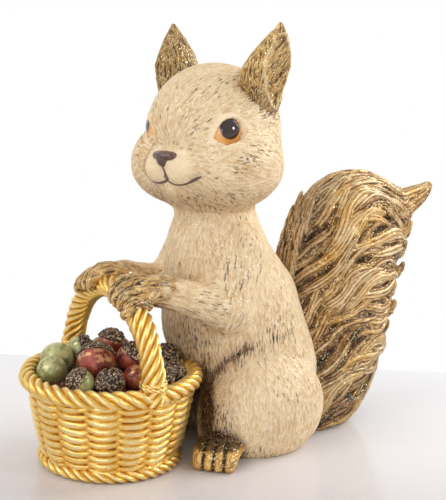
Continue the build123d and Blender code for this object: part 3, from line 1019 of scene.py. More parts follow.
# gold-brown paws and feet
gm = np.zeros(len(V))
gm[lab >= 4] = 1
am = (lab == 2) | (lab == 3)
gm[am] = step(arm_t[am] + 1.3 * (n2[am] - 0.5) + 0.5 * (fur[am] - 0.5), 1.62, 2.50)
gp = mix(np.tile(lin(250, 214, 148), (len(V), 1)), lin(212, 160, 80), np.clip(n2 * 1.6 - 0.3, 0, 1))
ft = lab >= 4
gp[ft] = mix(np.tile(lin(250, 202, 116), (ft.sum(), 1)), lin(206, 148, 68), np.clip(n2[ft] * 1.6 - 0.3, 0, 1))
gp = mix(gp, lin(78, 50, 24), np.clip(cav * 2.1 - 0.58, 0, 1) * (1 - 0.35 * ft))
gp = mix(gp, lin(58, 36, 18), 0.85 * np.clip(hand_gap, 0, 1))
c = mix(c, gp, gm)
c = mix(c, lin(34, 20, 10), np.clip(toe_gap * 1.2, 0, 1) * (lab >= 4))
heel = (lab >= 4) * step(V[:, 2], 8.6, 10.4)
c = mix(c, lin(44, 28, 14), 0.85 * heel)
earbase = hm * np.maximum.reduce([blob(px, 259, 90, 22, 10, 45, 0.5), blob(px, 246, 75, 9, 8, 0, 0.5)]) * facing
c = mix(c, mix(np.tile(lin(176, 132, 74), (len(V), 1)), lin(62, 40, 22), np.clip(cav * 1.6 - 0.2, 0, 1)), 0.8 * earbase * np.clip(0.5 + 1.4 * (n2 - 0.4), 0, 1))
# painted shade along the muzzle pad crease
c = mix(c, lin(150, 112, 74), 0.55 * pad_crease_shade)
c = mix(c, lin(46, 32, 24), np.clip(dash * 1.25, 0, 1) * 0.9)
c = mix(c, lin(248, 226, 190), 0.55 * near_lid * (1 - step(esd, 0.5, 3.5)) * (esd > 0))
c = mix(c, lin(120, 80, 44), hm * (1 - step(esd, -0.2, 0.35)) * (de < 9.6) * 0.6)
AT = attrs(len(V), metal=0.38 * gm * (1 - np.clip(cav * 1.3, 0, 1)), gloss=0.66 - 0.18 * gm + 0.10 * muz, glit=(0.35 + 0.6 * n1) * (1 - 0.7 * muz) + 0.5 * gm)

# pieces, cut from the one surface
VN = normals(V2, F)
fl = lab[F[:, 0]]
trunk_low = (fl == 0) & (V2[F[:, 0], 2] < 52)
trunk_up = (fl == 0) & ~trunk_low
parts = [("haunches", trunk_low, M_CREAM, "cream_resin", "torso_casting"), ("trunk", trunk_up, M_CREAM, "cream_resin", "torso_casting"),
         ("head_skin", fl == 1, M_CREAM, "cream_resin", "head_casting"), ("arm_left", fl == 2, M_CREAM, "cream_resin", "left_arm"),
         ("arm_right", fl == 3, M_CREAM, "cream_resin", "right_arm"), ("foot_left", fl == 4, M_GOLDBROWN, "gold_brown_resin", "left_hind_foot"),
         ("foot_right", fl == 5, M_GOLDBROWN, "gold_brown_resin", "right_hind_foot")]
for name, m, mat, slot, node in parts:
    f = F[m]
    used = np.unique(f)
    new = np.full(len(V), -1)
    new[used] = np.arange(len(used))
    v = V2[used]
    f = new[f]
    v3, tr = close_holes(v, f, -6.0)
    ex = len(v3) - len(v)
    at = {k: np.concatenate([x[used], np.full(ex, x[used].mean())]) for k, x in AT.items()}
    col = np.vstack([c[used], np.tile(c[used].mean(0), (ex, 1))])
    vn = np.vstack([VN[used], np.tile([0, 0, 1.0], (ex, 1))])
    o = mesh(name, v3, f, mat, tr, at, col, vn)
    piece(o, slot, node)
    say(name, len(f), "holes", ex)

# ---------------------------------------------------------------- eyes, nose, mouth
m = Mat("eye_gloss")
ang = m.attr("ang")
iris_n = m.noise(1.2, 3.0, 0.6)
ringc = m.ramp(ang, [(0.0, lin(6, 7, 12)), (0.295, lin(8, 9, 16)), (0.315, lin(60, 30, 12)), (0.335, lin(232, 164, 82)), (0.47, lin(250, 196, 118)), (0.60, lin(232, 168, 88)), (0.8, lin(150, 90, 40))])
m.set(Base_Color=m.mixc(m.math("MULTIPLY", iris_n, 0.12), ringc, lin(150, 84, 30)), Roughness=0.06)
m.bsdf.inputs["Coat Weight"].default_value = 1.0
m.bsdf.inputs["Coat Roughness"].default_value = 0.03
M_EYE = m.m


def ball(c, r, up, nu, nv):
    """closed ball of quads with its pole along up; the poles are tiny caps"""
    up = up / np.linalg.norm(up)
    a = np.cross(up, [0.3, 0.5, 0.81])
    a /= np.linalg.norm(a)
    b = np.cross(up, a)
    th = np.linspace(0, math.pi, nv + 1)
    ph = np.arange(nu) * 2 * math.pi / nu
    V = [c + up * r]
    for t in th[1:-1]:
        V.append(c + r * (math.cos(t) * up + math.sin(t) * (np.cos(ph)[:, None] * a + np.sin(ph)[:, None] * b)))
    V.append(c - up * r)
    V = np.vstack([np.atleast_2d(x) for x in V])
    F, T = [], []
    i = np.arange(nu)
    j = (i + 1) % nu
    for k in range(nv - 2):
        o = 1 + k * nu
        F.append(np.stack([o + i, o + nu + i, o + nu + j, o + j], -1))
    T.append(np.stack([np.zeros(nu, int), 1 + i, 1 + j], -1))
    o = 1 + (nv - 2) * nu
    T.append(np.stack([o + i, np.full(nu, o + nu), o + j], -1))
    ang = np.concatenate([[0], np.repeat(th[1:-1], nu), [math.pi]])
    return V, np.concatenate(F), np.concatenate(T), ang


for s, nm in ((1, "left_eye"), (-1, "right_eye")):
    mir = np.array([s, 1, 1.0])
    gz = GAZE if s > 0 else np.array([-0.66, -0.74, 0.14])
    v, f, t, an = ball(hp(EYE * mir), EYE_R, (gz / np.linalg.norm(gz)) @ HM, 96, 96)
    o = mesh("eyeball_" + nm[:-4], v, f, M_EYE, t, {"ang": an / 1.75})
    piece(o, "eye_gloss", nm)

m = Mat("nose_brown")
nn_ = m.noise(1.6, 3.0, 0.6)
m.set(Base_Color=m.ramp(nn_, [(0.3, lin(74, 52, 42)), (0.6, lin(108, 80, 66)), (0.8, lin(150, 118, 98))]), Roughness=m.ramp(nn_, [(0.3, 0.24), (0.7, 0.36)]), Normal=m.bump(m.noise(0.7, 2), 0.05, 0.6))
m.bsdf.inputs["Coat Weight"].default_value = 0.4
m.bsdf.inputs["Coat Roughness"].default_value = 0.15
M_NOSE = m.m

h = 0.3
gn = Grid(hp((0, -34.5, -10.5)) - 9, hp((0, -34.5, -10.5)) + 9, h)
ne = lambda c, r, k=0.0, op="add": ell(gn, hp(c), r, k, op, HM)
ne((0.5, -34.4, -8.9), (5.7, 3.3, 2.2))
for s in (1, -1):
    ne((0.5 + s * 3.9, -33.9, -9.1), (2.8, 2.9, 2.0), 1.0)
ne((0.3, -35.0, -11.0), (2.9, 3.0, 3.0), 2.0)
for s in (1, -1):
    ne((s * 3.6, -37.0, -10.2), (1.0, 1.1, 0.7), 0.5, "cut")
v, f = nets(gn)
o = mesh("nose_tip", v, f, M_NOSE)
piece(o, "nose_brown", "nose")

MOUTH = [(163.6, 174.0), (165.0, 177.0), (167.6, 180.2), (172.5, 183.5), (177.4, 184.9), (184.4, 184.2), (190, 182.1), (195.6, 179.4), (201.5, 176.6)]
pts = [hit(g, *p) for p in MOUTH]
line = [hl(p) for p in pts if p is not None]
mid = line[0] * [0, 1, 1]
line[0] = mid
phil_top = np.array([0, -36.2, -13.6])
curves = []
for s in (1, -1):
    cv = catmull([p * [s, 1, 1] for p in (line if s > 0 else line[:8])], 6)
    curves.append((hp(cv), np.interp(np.arange(len(cv)) / len(cv), [0, 0.15, 0.6, 0.85, 1], [0.50, 0.48, 0.52, 0.85, 0.25] if s > 0 else [0.62, 0.66, 0.64, 0.55, 0.3])))
ph = catmull([phil_top, (phil_top + mid) / 2 + [0, -0.3, 0], mid], 6)
curves.append((hp(ph), np.full(len(ph), 0.55)))
gm_ = Grid(hp((0, -26, -17)) - [20, 16, 8], hp((0, -26, -17)) + [20, 16, 8], 0.3)
for P, R in curves:
    P = drop(g, P, 4)
    G, _ = grad(g, P)
    tube(gm_, P - G * 0.15, R, 0.1)
v, f = nets(gm_)
o = mesh("mouth_line", v, f, M_NOSE)
piece(o, "nose_brown")
say("face")

# ---------------------------------------------------------------- ears
EAR_ST = np.array([(9, 24.8, 6.8, 5.8, 5.4), (11, 25.0, 6.2, 6.6, 6.8), (15, 25.4, 5.0, 7.6, 9.6), (19, 25.8, 4.2, 8.4, 11.6), (24, 27.0, 3.2, 8.6, 14.4),
                   (30, 28.7, 3.8, 8.0, 14.8), (35, 30.0, 5.0, 6.8, 12.6), (42, 31.8, 6.6, 4.2, 7.6), (46.5, 32.8, 7.4, 2.1, 3.4), (49.0, 33.3, 7.8, 0.8, 1.2)])


def ear_hollow(q):
    """1 on the edge of the hollow, less inside it"""
    z = q[:, 2]
    cx = np.interp(z, [12, 20, 30, 40, 48], [33.3, 35.4, 37.2, 38.0, 38.0])
    cy = np.interp(z, [12, 20, 30, 40, 48], [7.0, 7.0, 6.6, 7.4, 7.8])
    hw = np.interp(z, [10, 14, 20, 27, 34, 40, 44, 47.5], [0.3, 4.2, 8.2, 10.6, 10.4, 7.4, 4.4, 0.4])
    hd = np.interp(z, [10, 14, 20, 28, 36, 43, 47], [0.3, 4.8, 7.8, 7.8, 6.6, 4.8, 0.3])
    return np.sqrt(((q[:, 0] - cx) / hd) ** 2 + ((q[:, 1] - cy) / hw) ** 2), np.minimum(hw, hd)


he_ = 0.4
for s, nm in ((1, "left_ear"), (-1, "right_ear")):
    cc = hp((s * 29, 4, 30))
    ge = Grid(cc - [19, 19, 23], cc + [19, 19, 23], he_)
    X, Y, Z = np.meshgrid(*ge.ax, indexing="ij")
    P = np.stack([X.ravel(), Y.ravel(), Z.ravel()], -1)
    ql = hl(P)
    ql[:, 0] *= s
    st = [np.interp(ql[:, 2], EAR_ST[:, 0], EAR_ST[:, k]) for k in range(1, 5)]
    if s < 0:
        far_low = ql[:, 2] < 24
        st[1] = np.where(far_low, np.interp(ql[:, 2], [9, 24], [3.2, 4.3]), st[1] + 0.09 * st[3])
        st[3] = np.where(far_low, np.interp(ql[:, 2], [9, 16, 24], [10.6, 12.2, 12.6]), st[3] * 0.86)
    kx, ky = (ql[:, 0] - st[0]) / st[2], (ql[:, 1] - st[1]) / st[3]
    kk = np.sqrt(kx * kx + ky * ky) + 1e-6
    d = (kk - 1) * np.minimum(st[2], st[3]) * 0.92
    d = np.maximum(d, np.maximum(ql[:, 2] - 49.5, 9.5 - ql[:, 2]))
    # the hollow on the outer side, with a fold in front
    k2, wd_ = ear_hollow(ql)
    dcut = (k2 - 1) * wd_
    d = smax(d, -dcut, 1.0)
    ge.d = d.reshape(X.shape).astype(np.float32)
    v, f = nets(ge)
    n_, _ = grad(ge, v, 0.8)
    ql = hl(v)
    ql[:, 0] *= s
    k2, wd_ = ear_hollow(ql)
    inner = 1 - step(k2, 1.02, 1.16)
    rim = step(k2, 0.98, 1.08) * (1 - step(k2, 1.12, 1.34)) * step(ql[:, 0], 26, 29)
    wd = np.tile([0.08 * s, 0.10, 1.0], (len(v), 1)) @ HM
    wd = wd + inner[:, None] * (np.array([0, 0.5, 0.0]) @ HM)
    dd = tangent(wd + 0.30 * (rng.random((len(v), 3)) - 0.5), n_)
    nS = int(3400 * (1))
    ids = rng.choice(len(v), nS)
    hS = strokes(v, n_, v[ids], dd[ids], rng.uniform(3.0, 6.0, nS), rng.uniform(0.36, 0.52, nS), rng.uniform(0.35, 1, nS), 0.35, rng.uniform(-0.05, 0.05, nS))
    rimsoft = 1 - 0.8 * rim
    v2 = v + n_ * (0.85 * hS * rimsoft - 0.45)[:, None]
    cv_ = 1 - hS
    na, nb = noise(v, 7, 21, 2), noise(v, 2.0, 22, 2)
    hi = mix(np.tile(lin(255, 222, 154), (len(v), 1)), lin(216, 162, 76), np.clip(nb * 1.7 - 0.35, 0, 1))
    col = mix(hi, lin(82, 50, 18), np.clip(cv_ * 2.2 - 0.62, 0, 1))
    # painted shade: the far ear's whole colour is darkened
    if s < 0:
        col = col * 0.66
    low_ = (1 - step(ql[:, 2], 16, 30)) * (1 - inner)
    col = mix(col, mix(np.tile(lin(206, 170, 122), (len(v), 1)), lin(66, 44, 28), np.clip(cv_ * 1.9 - 0.4, 0, 1)), 0.7 * low_)
    col = mix(col, lin(226, 200, 156), 0.75 * rim * (0.5 + 0.5 * (nb > 0.35)))
    base_ = 1 - step(ql[:, 2] + 3 * (nb - 0.5), 12.0, 18.0)
    col = mix(col, lin(214, 184, 142), 0.35 * base_ * (nb > 0.5))
    at = attrs(len(v), metal=0.25 * (1 - np.clip(cv_ * 1.2, 0, 1)) * (1 - 0.8 * rim), gloss=0.50, glit=0.55)
    o = mesh("ear_fur_" + nm[:-4], v2, f, M_GOLDBROWN, None, at, col)
    piece(o, "gold_brown_resin", nm)
say("ears")

# ---------------------------------------------------------------- tail
TAIL_ST = np.array([(0, 111.8, 21, 23.8), (8, 114.2, 25, 29.2), (16, 116.8, 26, 33.2), (26, 119.6, 26, 36.1), (38, 123.2, 25.5, 36.7),
                    (52, 127.1, 24.6, 36.1), (66, 129.3, 24.4, 34.7), (80, 132.4, 24.4, 35.2), (94, 134.6, 23.6, 35.2), (104, 136.4, 22.2, 33.2),
                    (114, 137.2, 19.2, 28.6), (121, 137.0, 14.8, 22), (126, 137.4, 9.4, 14.5), (129, 137.6, 3.6, 6), (131, 137.6, 0.6, 1)])
ht = 0.5
gt = Grid((-31, 80, -1.5), (33, 197, 136), ht)
zz_ = gt.ax[2].astype(float)
yc_, aa_, bb_ = (np.interp(np.clip(zz_ + 2.0 * (zz_ > 100), 0, 131), TAIL_ST[:, 0], TAIL_ST[:, k]) for k in (1, 2, 3))
aa_, bb_ = np.maximum(aa_ - 2.6, 0.4), np.maximum(bb_ - 2.9, 0.4)
kx = gt.ax[0][:, None, None] / aa_[None, None, :]
ky = (gt.ax[1][None, :, None] - yc_[None, None, :]) / bb_[None, None, :]
kk = np.sqrt(kx * kx + ky * ky) + 1e-6
gt.d = np.maximum((kk - 1) * np.minimum(aa_, bb_)[None, None, :] * 0.92, gt.ax[2][None, None, :] - 125.5).astype(np.float32)
tube(gt, [(0, 150, 110.5), (1, 172, 108)], [11.0, 6.0], 8)
gb = Grid(gt.lo, gt.lo + gt.h * (gt.n - 1), ht)
gb.d = gt.d.copy()


def tail_uv(P):
    z = np.clip(P[:, 2], 0, 128)
    yc, b = np.interp(z, TAIL_ST[:, 0], TAIL_ST[:, 1]), np.interp(z, TAIL_ST[:, 0], TAIL_ST[:, 3])
    return (P[:, 1] - (yc - b)) / (2 * b)


TU = [0.0, 0.20, 0.36, 0.50, 0.64, 0.76, 0.88, 1.0]
TH_LOW = [58, 48, 38, 30, 22, 16, 14, 24]
TH_MID = [60, 50, 36, 20, 4, -8, -6, 16]
TH_TOP = [66, 52, 34, 12, -12, -24, -16, 8]


def tail_flow(P, N, wob):
    """direction in which the locks run"""
    u = np.clip(tail_uv(P), 0, 1)
    lo, mi, to = (np.interp(u, TU, a) for a in (TH_LOW, TH_MID, TH_TOP))
    z = P[:, 2]
    th = np.where(z < 62, lo + (mi - lo) * step(z, 14, 62), mi + (to - mi) * step(z, 70, 108))
    th = np.radians(th + wob)
    D = np.stack([np.zeros(len(P)), np.cos(th), np.sin(th)], -1)
    sx = np.tanh(P[:, 0] / 4)
    D[:, 0] = sx * 0.9 * (1 - step(u, 0.0, 0.22)) - sx * 0.55 * step(u, 0.86, 1.0)
    return tangent(D, N)


vb, fb = nets(gb)
nb_, _ = grad(gb, vb, 1.0)
rt = np.random.default_rng(23)
# seeds spread over the base form: low noise of spacing by best of several tries
u_all = tail_uv(vb)
NL = 560
ok = (vb[:, 2] > 1.5) & (u_all < 0.93)
cand = rt.choice(np.nonzero(ok)[0], 6000)
seeds = [cand[0]]
pos = vb[cand]
dmin = np.linalg.norm(pos - vb[cand[0]], axis=1)
for _ in range(NL - 1):
    k = int(np.argmax(dmin * (0.9 + 0.2 * rt.random(len(cand)))))
    seeds.append(cand[k])
    dmin = np.minimum(dmin, np.linalg.norm(pos - pos[k], axis=1))
P0 = vb[seeds]
wob0 = rt.normal(0, 4.5, NL)
ph0 = 14.0 * noise(P0, 26.0, 51, 1) + rt.normal(0, 0.5, NL)
steps = 18
Ls = rt.uniform(28, 56, NL)
dl_ = Ls / steps
P = P0.copy()
for k in range(8):
    n_, _ = grad(gb, P, 1.0)
    P = drop(gb, P - tail_flow(P, n_, wob0) * dl_[:, None], 2)
path = [P.copy()]
for k in range(steps):
    n_, _ = grad(gb, P, 1.0)
    wv = wob0 + 21 * np.sin(ph0 + 6.8 * k / steps)
    D_ = tail_flow(P, n_, wv)
    P = P + D_ * dl_[:, None]
    P = drop(gb, P, 2)
    path.append(P.copy())
path = np.array(path)                                   # steps+1, NL, 3
tt = np.linspace(0, 1, steps + 1)
RL = rt.uniform(1.9, 3.2, NL)
prof = np.interp(tt, [0, 0.12, 0.35, 0.7, 0.9, 1.0], [0.30, 0.75, 1.0, 0.92, 0.58, 0.16])
nn = np.array([grad(gb, p, 1.0)[0] for p in path])
lift_end = rt.uniform(0.0, 1.6, NL)
off_ = rt.uniform(-2.2, 1.2, NL)
LOCKS = []
for i in range(NL):
    out = off_[i] - 0.2 + lift_end[i] * tt ** 3
    LOCKS.append((path[:, i] + nn[:, i] * out[:, None], RL[i] * prof, int(rt.integers(3, 6))))
# silhouette tips: short curls that stand off the back edge
for z0, ln, up in ((20, 0.8, 0.6), (31, 0.9, 0.9), (42, 0.8, 0.8), (52, 1.0, 1.1), (62, 0.9, 0.9), (72, 1.1, 1.1), (83, 1.0, 1.3), (93, 1.15, 1.4), (101, 0.9, 0.9)):
    for x0, dz_ in ((9.0, 0.0), (14.5, 4.0), (-9.0, 2.0), (-14.5, 6.0), (0.0, 5.0)):
        zz = z0 + dz_
        a0, y0 = np.interp(zz, TAIL_ST[:, 0], TAIL_ST[:, 2]), np.interp(zz, TAIL_ST[:, 0], TAIL_ST[:, 1])
        yb = y0 + np.interp(zz, TAIL_ST[:, 0], TAIL_ST[:, 3]) * math.sqrt(1 - (x0 / a0) ** 2)
        o2 = np.array([math.sin(math.radians(2.4 * x0)), math.cos(math.radians(2.4 * x0)), 0])
        b0 = np.array([x0, yb, zz + 3.0]) - o2 * 7.0
        pp = [b0, b0 + o2 * 4.8 * ln + [0, 0, -1.8], b0 + o2 * 7.8 * ln + [0, 0, -1.2], b0 + o2 * 9.2 * ln + [0, 0, 1.8 * up]]
        LOCKS.append((catmull(pp, 3), np.interp(np.linspace(0, 1, 10), [0, 0.5, 1], [2.7, 2.3, 1.1]), 4))
# loose locks at the front edge
for k, z0 in enumerate((58, 64, 70, 75, 80, 84, 88, 92, 96, 100)):
    for x0 in (-6.0, -3.0, 0.0, 3.0, 6.0):
        zz = z0 + 3.0 * math.sin(k * 2.1 + x0)
        yf = np.interp(zz, TAIL_ST[:, 0], TAIL_ST[:, 1] - TAIL_ST[:, 3])
        yt = np.interp(zz + 17, TAIL_ST[:, 0], TAIL_ST[:, 1] - TAIL_ST[:, 3])
        b0 = np.array([x0, yf + 3.4, zz])
        e0_ = np.array([x0 * 1.05, yt - 0.8, zz + 18])
        LOCKS.append((catmull([b0, b0 * 0.65 + e0_ * 0.35 + [0, -0.9, 0], b0 * 0.3 + e0_ * 0.7 + [0, -0.9, 0], e0_], 4), np.interp(np.linspace(0, 1, 13), [0, 0.4, 0.8, 1], [1.35, 1.25, 0.9, 0.35]), 2))
# the curled lock at the top
TIPC = catmull([(0, 148, 114), (0.6, 160, 111), (1, 171, 109.5), (1.6, 180, 112.2), (2.4, 186, 115.8), (3, 189.3, 118.6)], 5)
for k in range(7):
    a = 2 * math.pi * k / 7 + 0.4
    off = np.stack([np.cos(a + 0.05 * np.arange(len(TIPC))) , np.zeros(len(TIPC)), np.sin(a + 0.05 * np.arange(len(TIPC)))], -1)
    sc = np.interp(np.linspace(0, 1, len(TIPC)), [0, 0.45, 0.75, 1], [8.5, 4.6, 2.6, 0.7])
    rr = np.interp(np.linspace(0, 1, len(TIPC)), [0, 0.45, 0.75, 1], [4.6, 3.0, 2.2, 1.2])
    LOCKS.append((TIPC + off * sc[:, None], rr, 4))
for Pl, Rl, ns in LOCKS:
    tube(gt, Pl, Rl, 0.15, sep=True)
say("locks", len(LOCKS))
gt.d = np.maximum(gt.d, -gt.ax[2][None, None, :] + 0.0)
v, f = nets(gt)
n_, _ = grad(gt, v, 0.7)
nbig, _ = grad(gb, v, 1.5)
# which lock each point lies on, and where round it
SA = np.concatenate([Pl[:-1] for Pl, Rl, ns in LOCKS])
SB = np.concatenate([Pl[1:] for Pl, Rl, ns in LOCKS])
RA = np.concatenate([Rl[:-1] for Pl, Rl, ns in LOCKS])
RB = np.concatenate([Rl[1:] for Pl, Rl, ns in LOCKS])
LID = np.concatenate([np.full(len(Pl) - 1, k) for k, (Pl, Rl, ns) in enumerate(LOCKS)])
NSTR = np.array([ns for Pl, Rl, ns in LOCKS])
best = np.full(len(v), 1e9)
bid = np.zeros(len(v), int)
for i, j, d in pairs(v, (SA + SB) / 2, 4.6):
    ab = SB[j] - SA[j]
    w = v[i] - SA[j]
    t = np.clip((w * ab).sum(1) / np.maximum((ab * ab).sum(1), 1e-9), 0, 1)
    dd_ = np.linalg.norm(w - t[:, None] * ab, axis=1) - (RA[j] + (RB[j] - RA[j]) * t)
    o_ = np.argsort(-dd_)
    i, j, dd_ = i[o_], j[o_], dd_[o_]
    m = dd_ < best[i]
    best[i[m]] = dd_[m]
    bid[i[m]] = j[m]
ab = SB[bid] - SA[bid]
Dv = ab / (np.linalg.norm(ab, axis=1, keepdims=True) + 1e-9)
w = v - SA[bid]
w = w - (w * Dv).sum(1, keepdims=True) * Dv
o_ = nbig - (nbig * Dv).sum(1, keepdims=True) * Dv
o_ /= np.linalg.norm(o_, axis=1, keepdims=True) + 1e-9
al_ = np.arctan2((w * np.cross(Dv, o_)).sum(1), (w * o_).sum(1))
na, nb = noise(v, 11, 41, 2), noise(v, 2.2, 42, 2)
ph_ = al_ / math.pi * NSTR[LID[bid]] + 0.37 * LID[bid] + 0.5 * (na - 0.5)
x_ = 2 * (ph_ - np.floor(ph_)) - 1
hS = np.sqrt(np.clip(1 - x_ * x_, 0, 1)) * (0.8 + 0.2 * hash3(np.stack([np.floor(ph_).astype(np.int64), LID[bid], LID[bid] * 0], -1), 5))
onl = best < 1.2
nS = int(12000 * (1))
ids = rt.choice(len(v), nS)
Dt = tangent(Dv, n_)
fine = strokes(v, n_, v[ids], Dt[ids], rt.uniform(4, 8, nS), rt.uniform(0.35, 0.55, nS), rt.uniform(0.3, 1, nS), 0.2)
hS = np.where(onl, 0.72 * hS + 0.28 * fine, fine)
say("tail strands")
base_d = sample(gb, v)
ridge = np.clip((base_d + 0.2) / 3.0, 0, 1)
ridge[v[:, 1] > 168] = 0.6
v2 = v + n_ * (1.35 * hS - 0.85)[:, None]
v2[:, 2] = np.maximum(v2[:, 2], 0.0)
hgt = np.clip(0.46 * ridge + 0.62 * hS + 0.20 * (nb - 0.5), 0, 1)
tone_ = hash3(np.stack([LID[bid], LID[bid] * 3 + 1, LID[bid] * 0], -1), 9)
tone_ = np.where(onl, tone_, 0.3)
hgt = np.clip(hgt + 0.20 * (tone_ - 0.55) + 0.10 * (v[:, 1] > 170), 0, 1)
qs_ = [0, 0.1, 0.2, 0.3, 0.4, 0.5, 0.6, 0.7, 0.8, 0.9, 1.0]
hgt = np.interp(hgt, np.quantile(hgt, qs_) + 1e-6 * np.arange(11), qs_)
amber_ = np.clip(na * 1.6 - 0.5 + 1.1 * (tone_ - 0.5), 0, 1)
col = mix(np.tile(lin(38, 21, 8), (len(v), 1)), lin(98, 62, 26), step(hgt, 0.02, 0.24))
col = mix(col, lin(154, 110, 54), step(hgt, 0.20, 0.46))
col = mix(col, mix(np.tile(lin(208, 172, 116), (len(v), 1)), lin(190, 140, 66), amber_), step(hgt, 0.42, 0.72))
col = mix(col, mix(np.tile(lin(254, 236, 200), (len(v), 1)), lin(236, 192, 112), amber_), step(hgt, 0.66, 0.98))
col = col * np.array([0.84, 0.79, 0.73]) * (1 - 0.22 * (1 - step(v[:, 2], 18, 66)))[:, None]
u_ = tail_uv(v)
grey = (1 - step(u_, 0.05, 0.17)) * step(v[:, 2], 40, 80)
col = mix(col, mix(np.tile(lin(196, 166, 128), (len(v), 1)), lin(70, 48, 32), np.clip(1.3 - hgt * 1.7, 0, 1)), 0.7 * grey)
at = attrs(len(v), metal=0.34 * step(hgt, 0.3, 0.7), gloss=0.50 - 0.16 * step(hgt, 0.4, 0.8), glit=0.3 + 1.4 * na)
VN = normals(v2, f)
zc = v2[f[:, 0], 2]
for nm, msk in (("tail_plume_low", zc < 44), ("tail_plume_mid", (zc >= 44) & (zc < 86)), ("tail_plume_top", zc >= 86)):
    ff = f[msk]
    used = np.unique(ff)
    new = np.full(len(v), -1)
    new[used] = np.arange(len(used))
    v3, tr = close_holes(v2[used], new[ff], -8.0)
    ex = len(v3) - len(used)
    a_ = {k: np.concatenate([x[used], np.full(ex, 0.5)]) for k, x in at.items()}
    o = mesh(nm, v3, new[ff], M_GOLDBROWN, tr, a_, np.vstack([col[used], np.tile(col.mean(0), (ex, 1))]), np.vstack([VN[used], np.tile([0, 0, 1.0], (ex, 1))]))
    piece(o, "gold_brown_resin", "tail_casting")
    say(nm, len(ff), ex)


# ---------------------------------------------------------------- ropes
def gold_paint(P, hgt, seed, amber=1.0):
    a, b = noise(P, 6, seed, 2), noise(P, 1.6, seed + 1, 2)
    t = np.clip(hgt + 0.22 * (b - 0.5) + 0.12 * (a - 0.5), 0, 1)
    col = mix(np.tile(lin(132, 74, 10), (len(P), 1)), lin(214, 152, 38), step(t, 0.04, 0.32))
    col = mix(col, lin(244, 200, 104), step(t, 0.28, 0.60))
    col = mix(col, lin(252, 228, 162), step(t, 0.62, 0.98))
    return col, t


def rope(P, T, N, closed, n, ro, rs, turns, ring, grain=3, wob=0.0, seed=5, scale=None, squash=(1, 1)):
    """twisted rope with n strands round a path; returns vertices, quads, tris and height"""
    m = len(P)
    B = np.cross(T, N)
    s = np.linspace(0, 1, m, endpoint=not closed)
    ph = np.arange(ring) * 2 * math.pi / ring
    th = 2 * math.pi * turns * s
    f = ph[None, :]
    tw = (f - th[:, None]) * n / (2 * math.pi)
    lobe = (tw - np.floor(tw) - 0.5)
    psi = lobe * 2 * math.pi / n
    rad = ro * np.cos(psi) + np.sqrt(np.maximum(rs * rs - (ro * np.sin(psi)) ** 2, 0.04))
    rmx, rmn = ro + rs, rad.min()
    hgt = (rad - rmn) / (rmx - rmn)
    rad = rad + 0.07 * np.cos(2 * math.pi * grain * lobe) * (1 - (2 * np.abs(lobe)) ** 4)
    hgt = hgt + 0.10 * np.cos(2 * math.pi * grain * lobe)
    if scale is not None:
        rad = rad * scale[:, None]
    V = P[:, None, :] + rad[..., None] * (squash[0] * np.cos(f)[..., None] * N[:, None, :] + squash[1] * np.sin(f)[..., None] * B[:, None, :])
    V = V.reshape(-1, 3)
    if wob:
        q = V.copy()
        V = V + wob * np.stack([noise(q, 5, seed + k) - 0.5 for k in range(3)], -1)
    i = np.arange(m if closed else m - 1)
    j = np.arange(ring)
    I, J = np.meshgrid(i, j, indexing="ij")
    I2, J2 = (I + 1) % m, (J + 1) % ring
    F = np.stack([I * ring + J, I * ring + J2, I2 * ring + J2, I2 * ring + J], -1).reshape(-1, 4)
    tris = None
    if not closed:
        V = np.vstack([V, P[0], P[-1]])
        k = m * ring
        e = (m - 1) * ring
        tris = np.vstack([np.stack([np.full(ring, k), (j + 1) % ring, j], -1), np.stack([np.full(ring, k + 1), e + j, e + (j + 1) % ring], -1)])
        hgt = np.append(hgt.ravel(), [0.3, 0.3])
    return V, F, tris, hgt.ravel()


q_ = 1
# handle: a little bulge and a flare where it meets the rim
m = 420 // q_
S = np.linspace(0, 1, m)
leg = 6.0
Ltot = math.pi * RIM_R + 2 * leg
d = S * Ltot
P, T, N_ = np.zeros((m, 3)), np.zeros((m, 3)), np.zeros((m, 3))
for i, x in enumerate(d):
    if x < leg:
        P[i], T[i], N_[i] = (-RIM_R, 0, ARCH_Z - leg + x), (0, 0, 1), (-1, 0, 0)
    elif x > Ltot - leg:
        P[i], T[i], N_[i] = (RIM_R, 0, ARCH_Z - (x - (Ltot - leg))), (0, 0, -1), (1, 0, 0)
    else:
        a = math.pi - (x - leg) / RIM_R
        P[i], T[i], N_[i] = (RIM_R * math.cos(a), 0, ARCH_Z + RIM_R * math.sin(a)), (math.sin(a), 0, -math.cos(a)), (math.cos(a), 0, math.sin(a))
e = np.minimum(d, Ltot - d)
sc = 1.0 + 0.10 * np.exp(-((e - 9) / 7.0) ** 2) + 0.05 * np.exp(-((e - 40) / 14) ** 2) + 0.02 * np.sin(S * 37)
v, f, t, hg = rope(P, T, N_, False, 7, 3.55, 1.75, Ltot / 34.0, 7 * (18 // q_), 2, 0.4, 61, sc)
col, tone = gold_paint(v, hg * 0.9 - 0.02, 71)
o = mesh("handle_rope", v, f, M_BASKET, t, attrs(len(v), metal=0.62 + 0.3 * tone, gloss=0.46 - 0.14 * tone, glit=0.3), col)
piece(o, "basket_gold", "basket_handle")

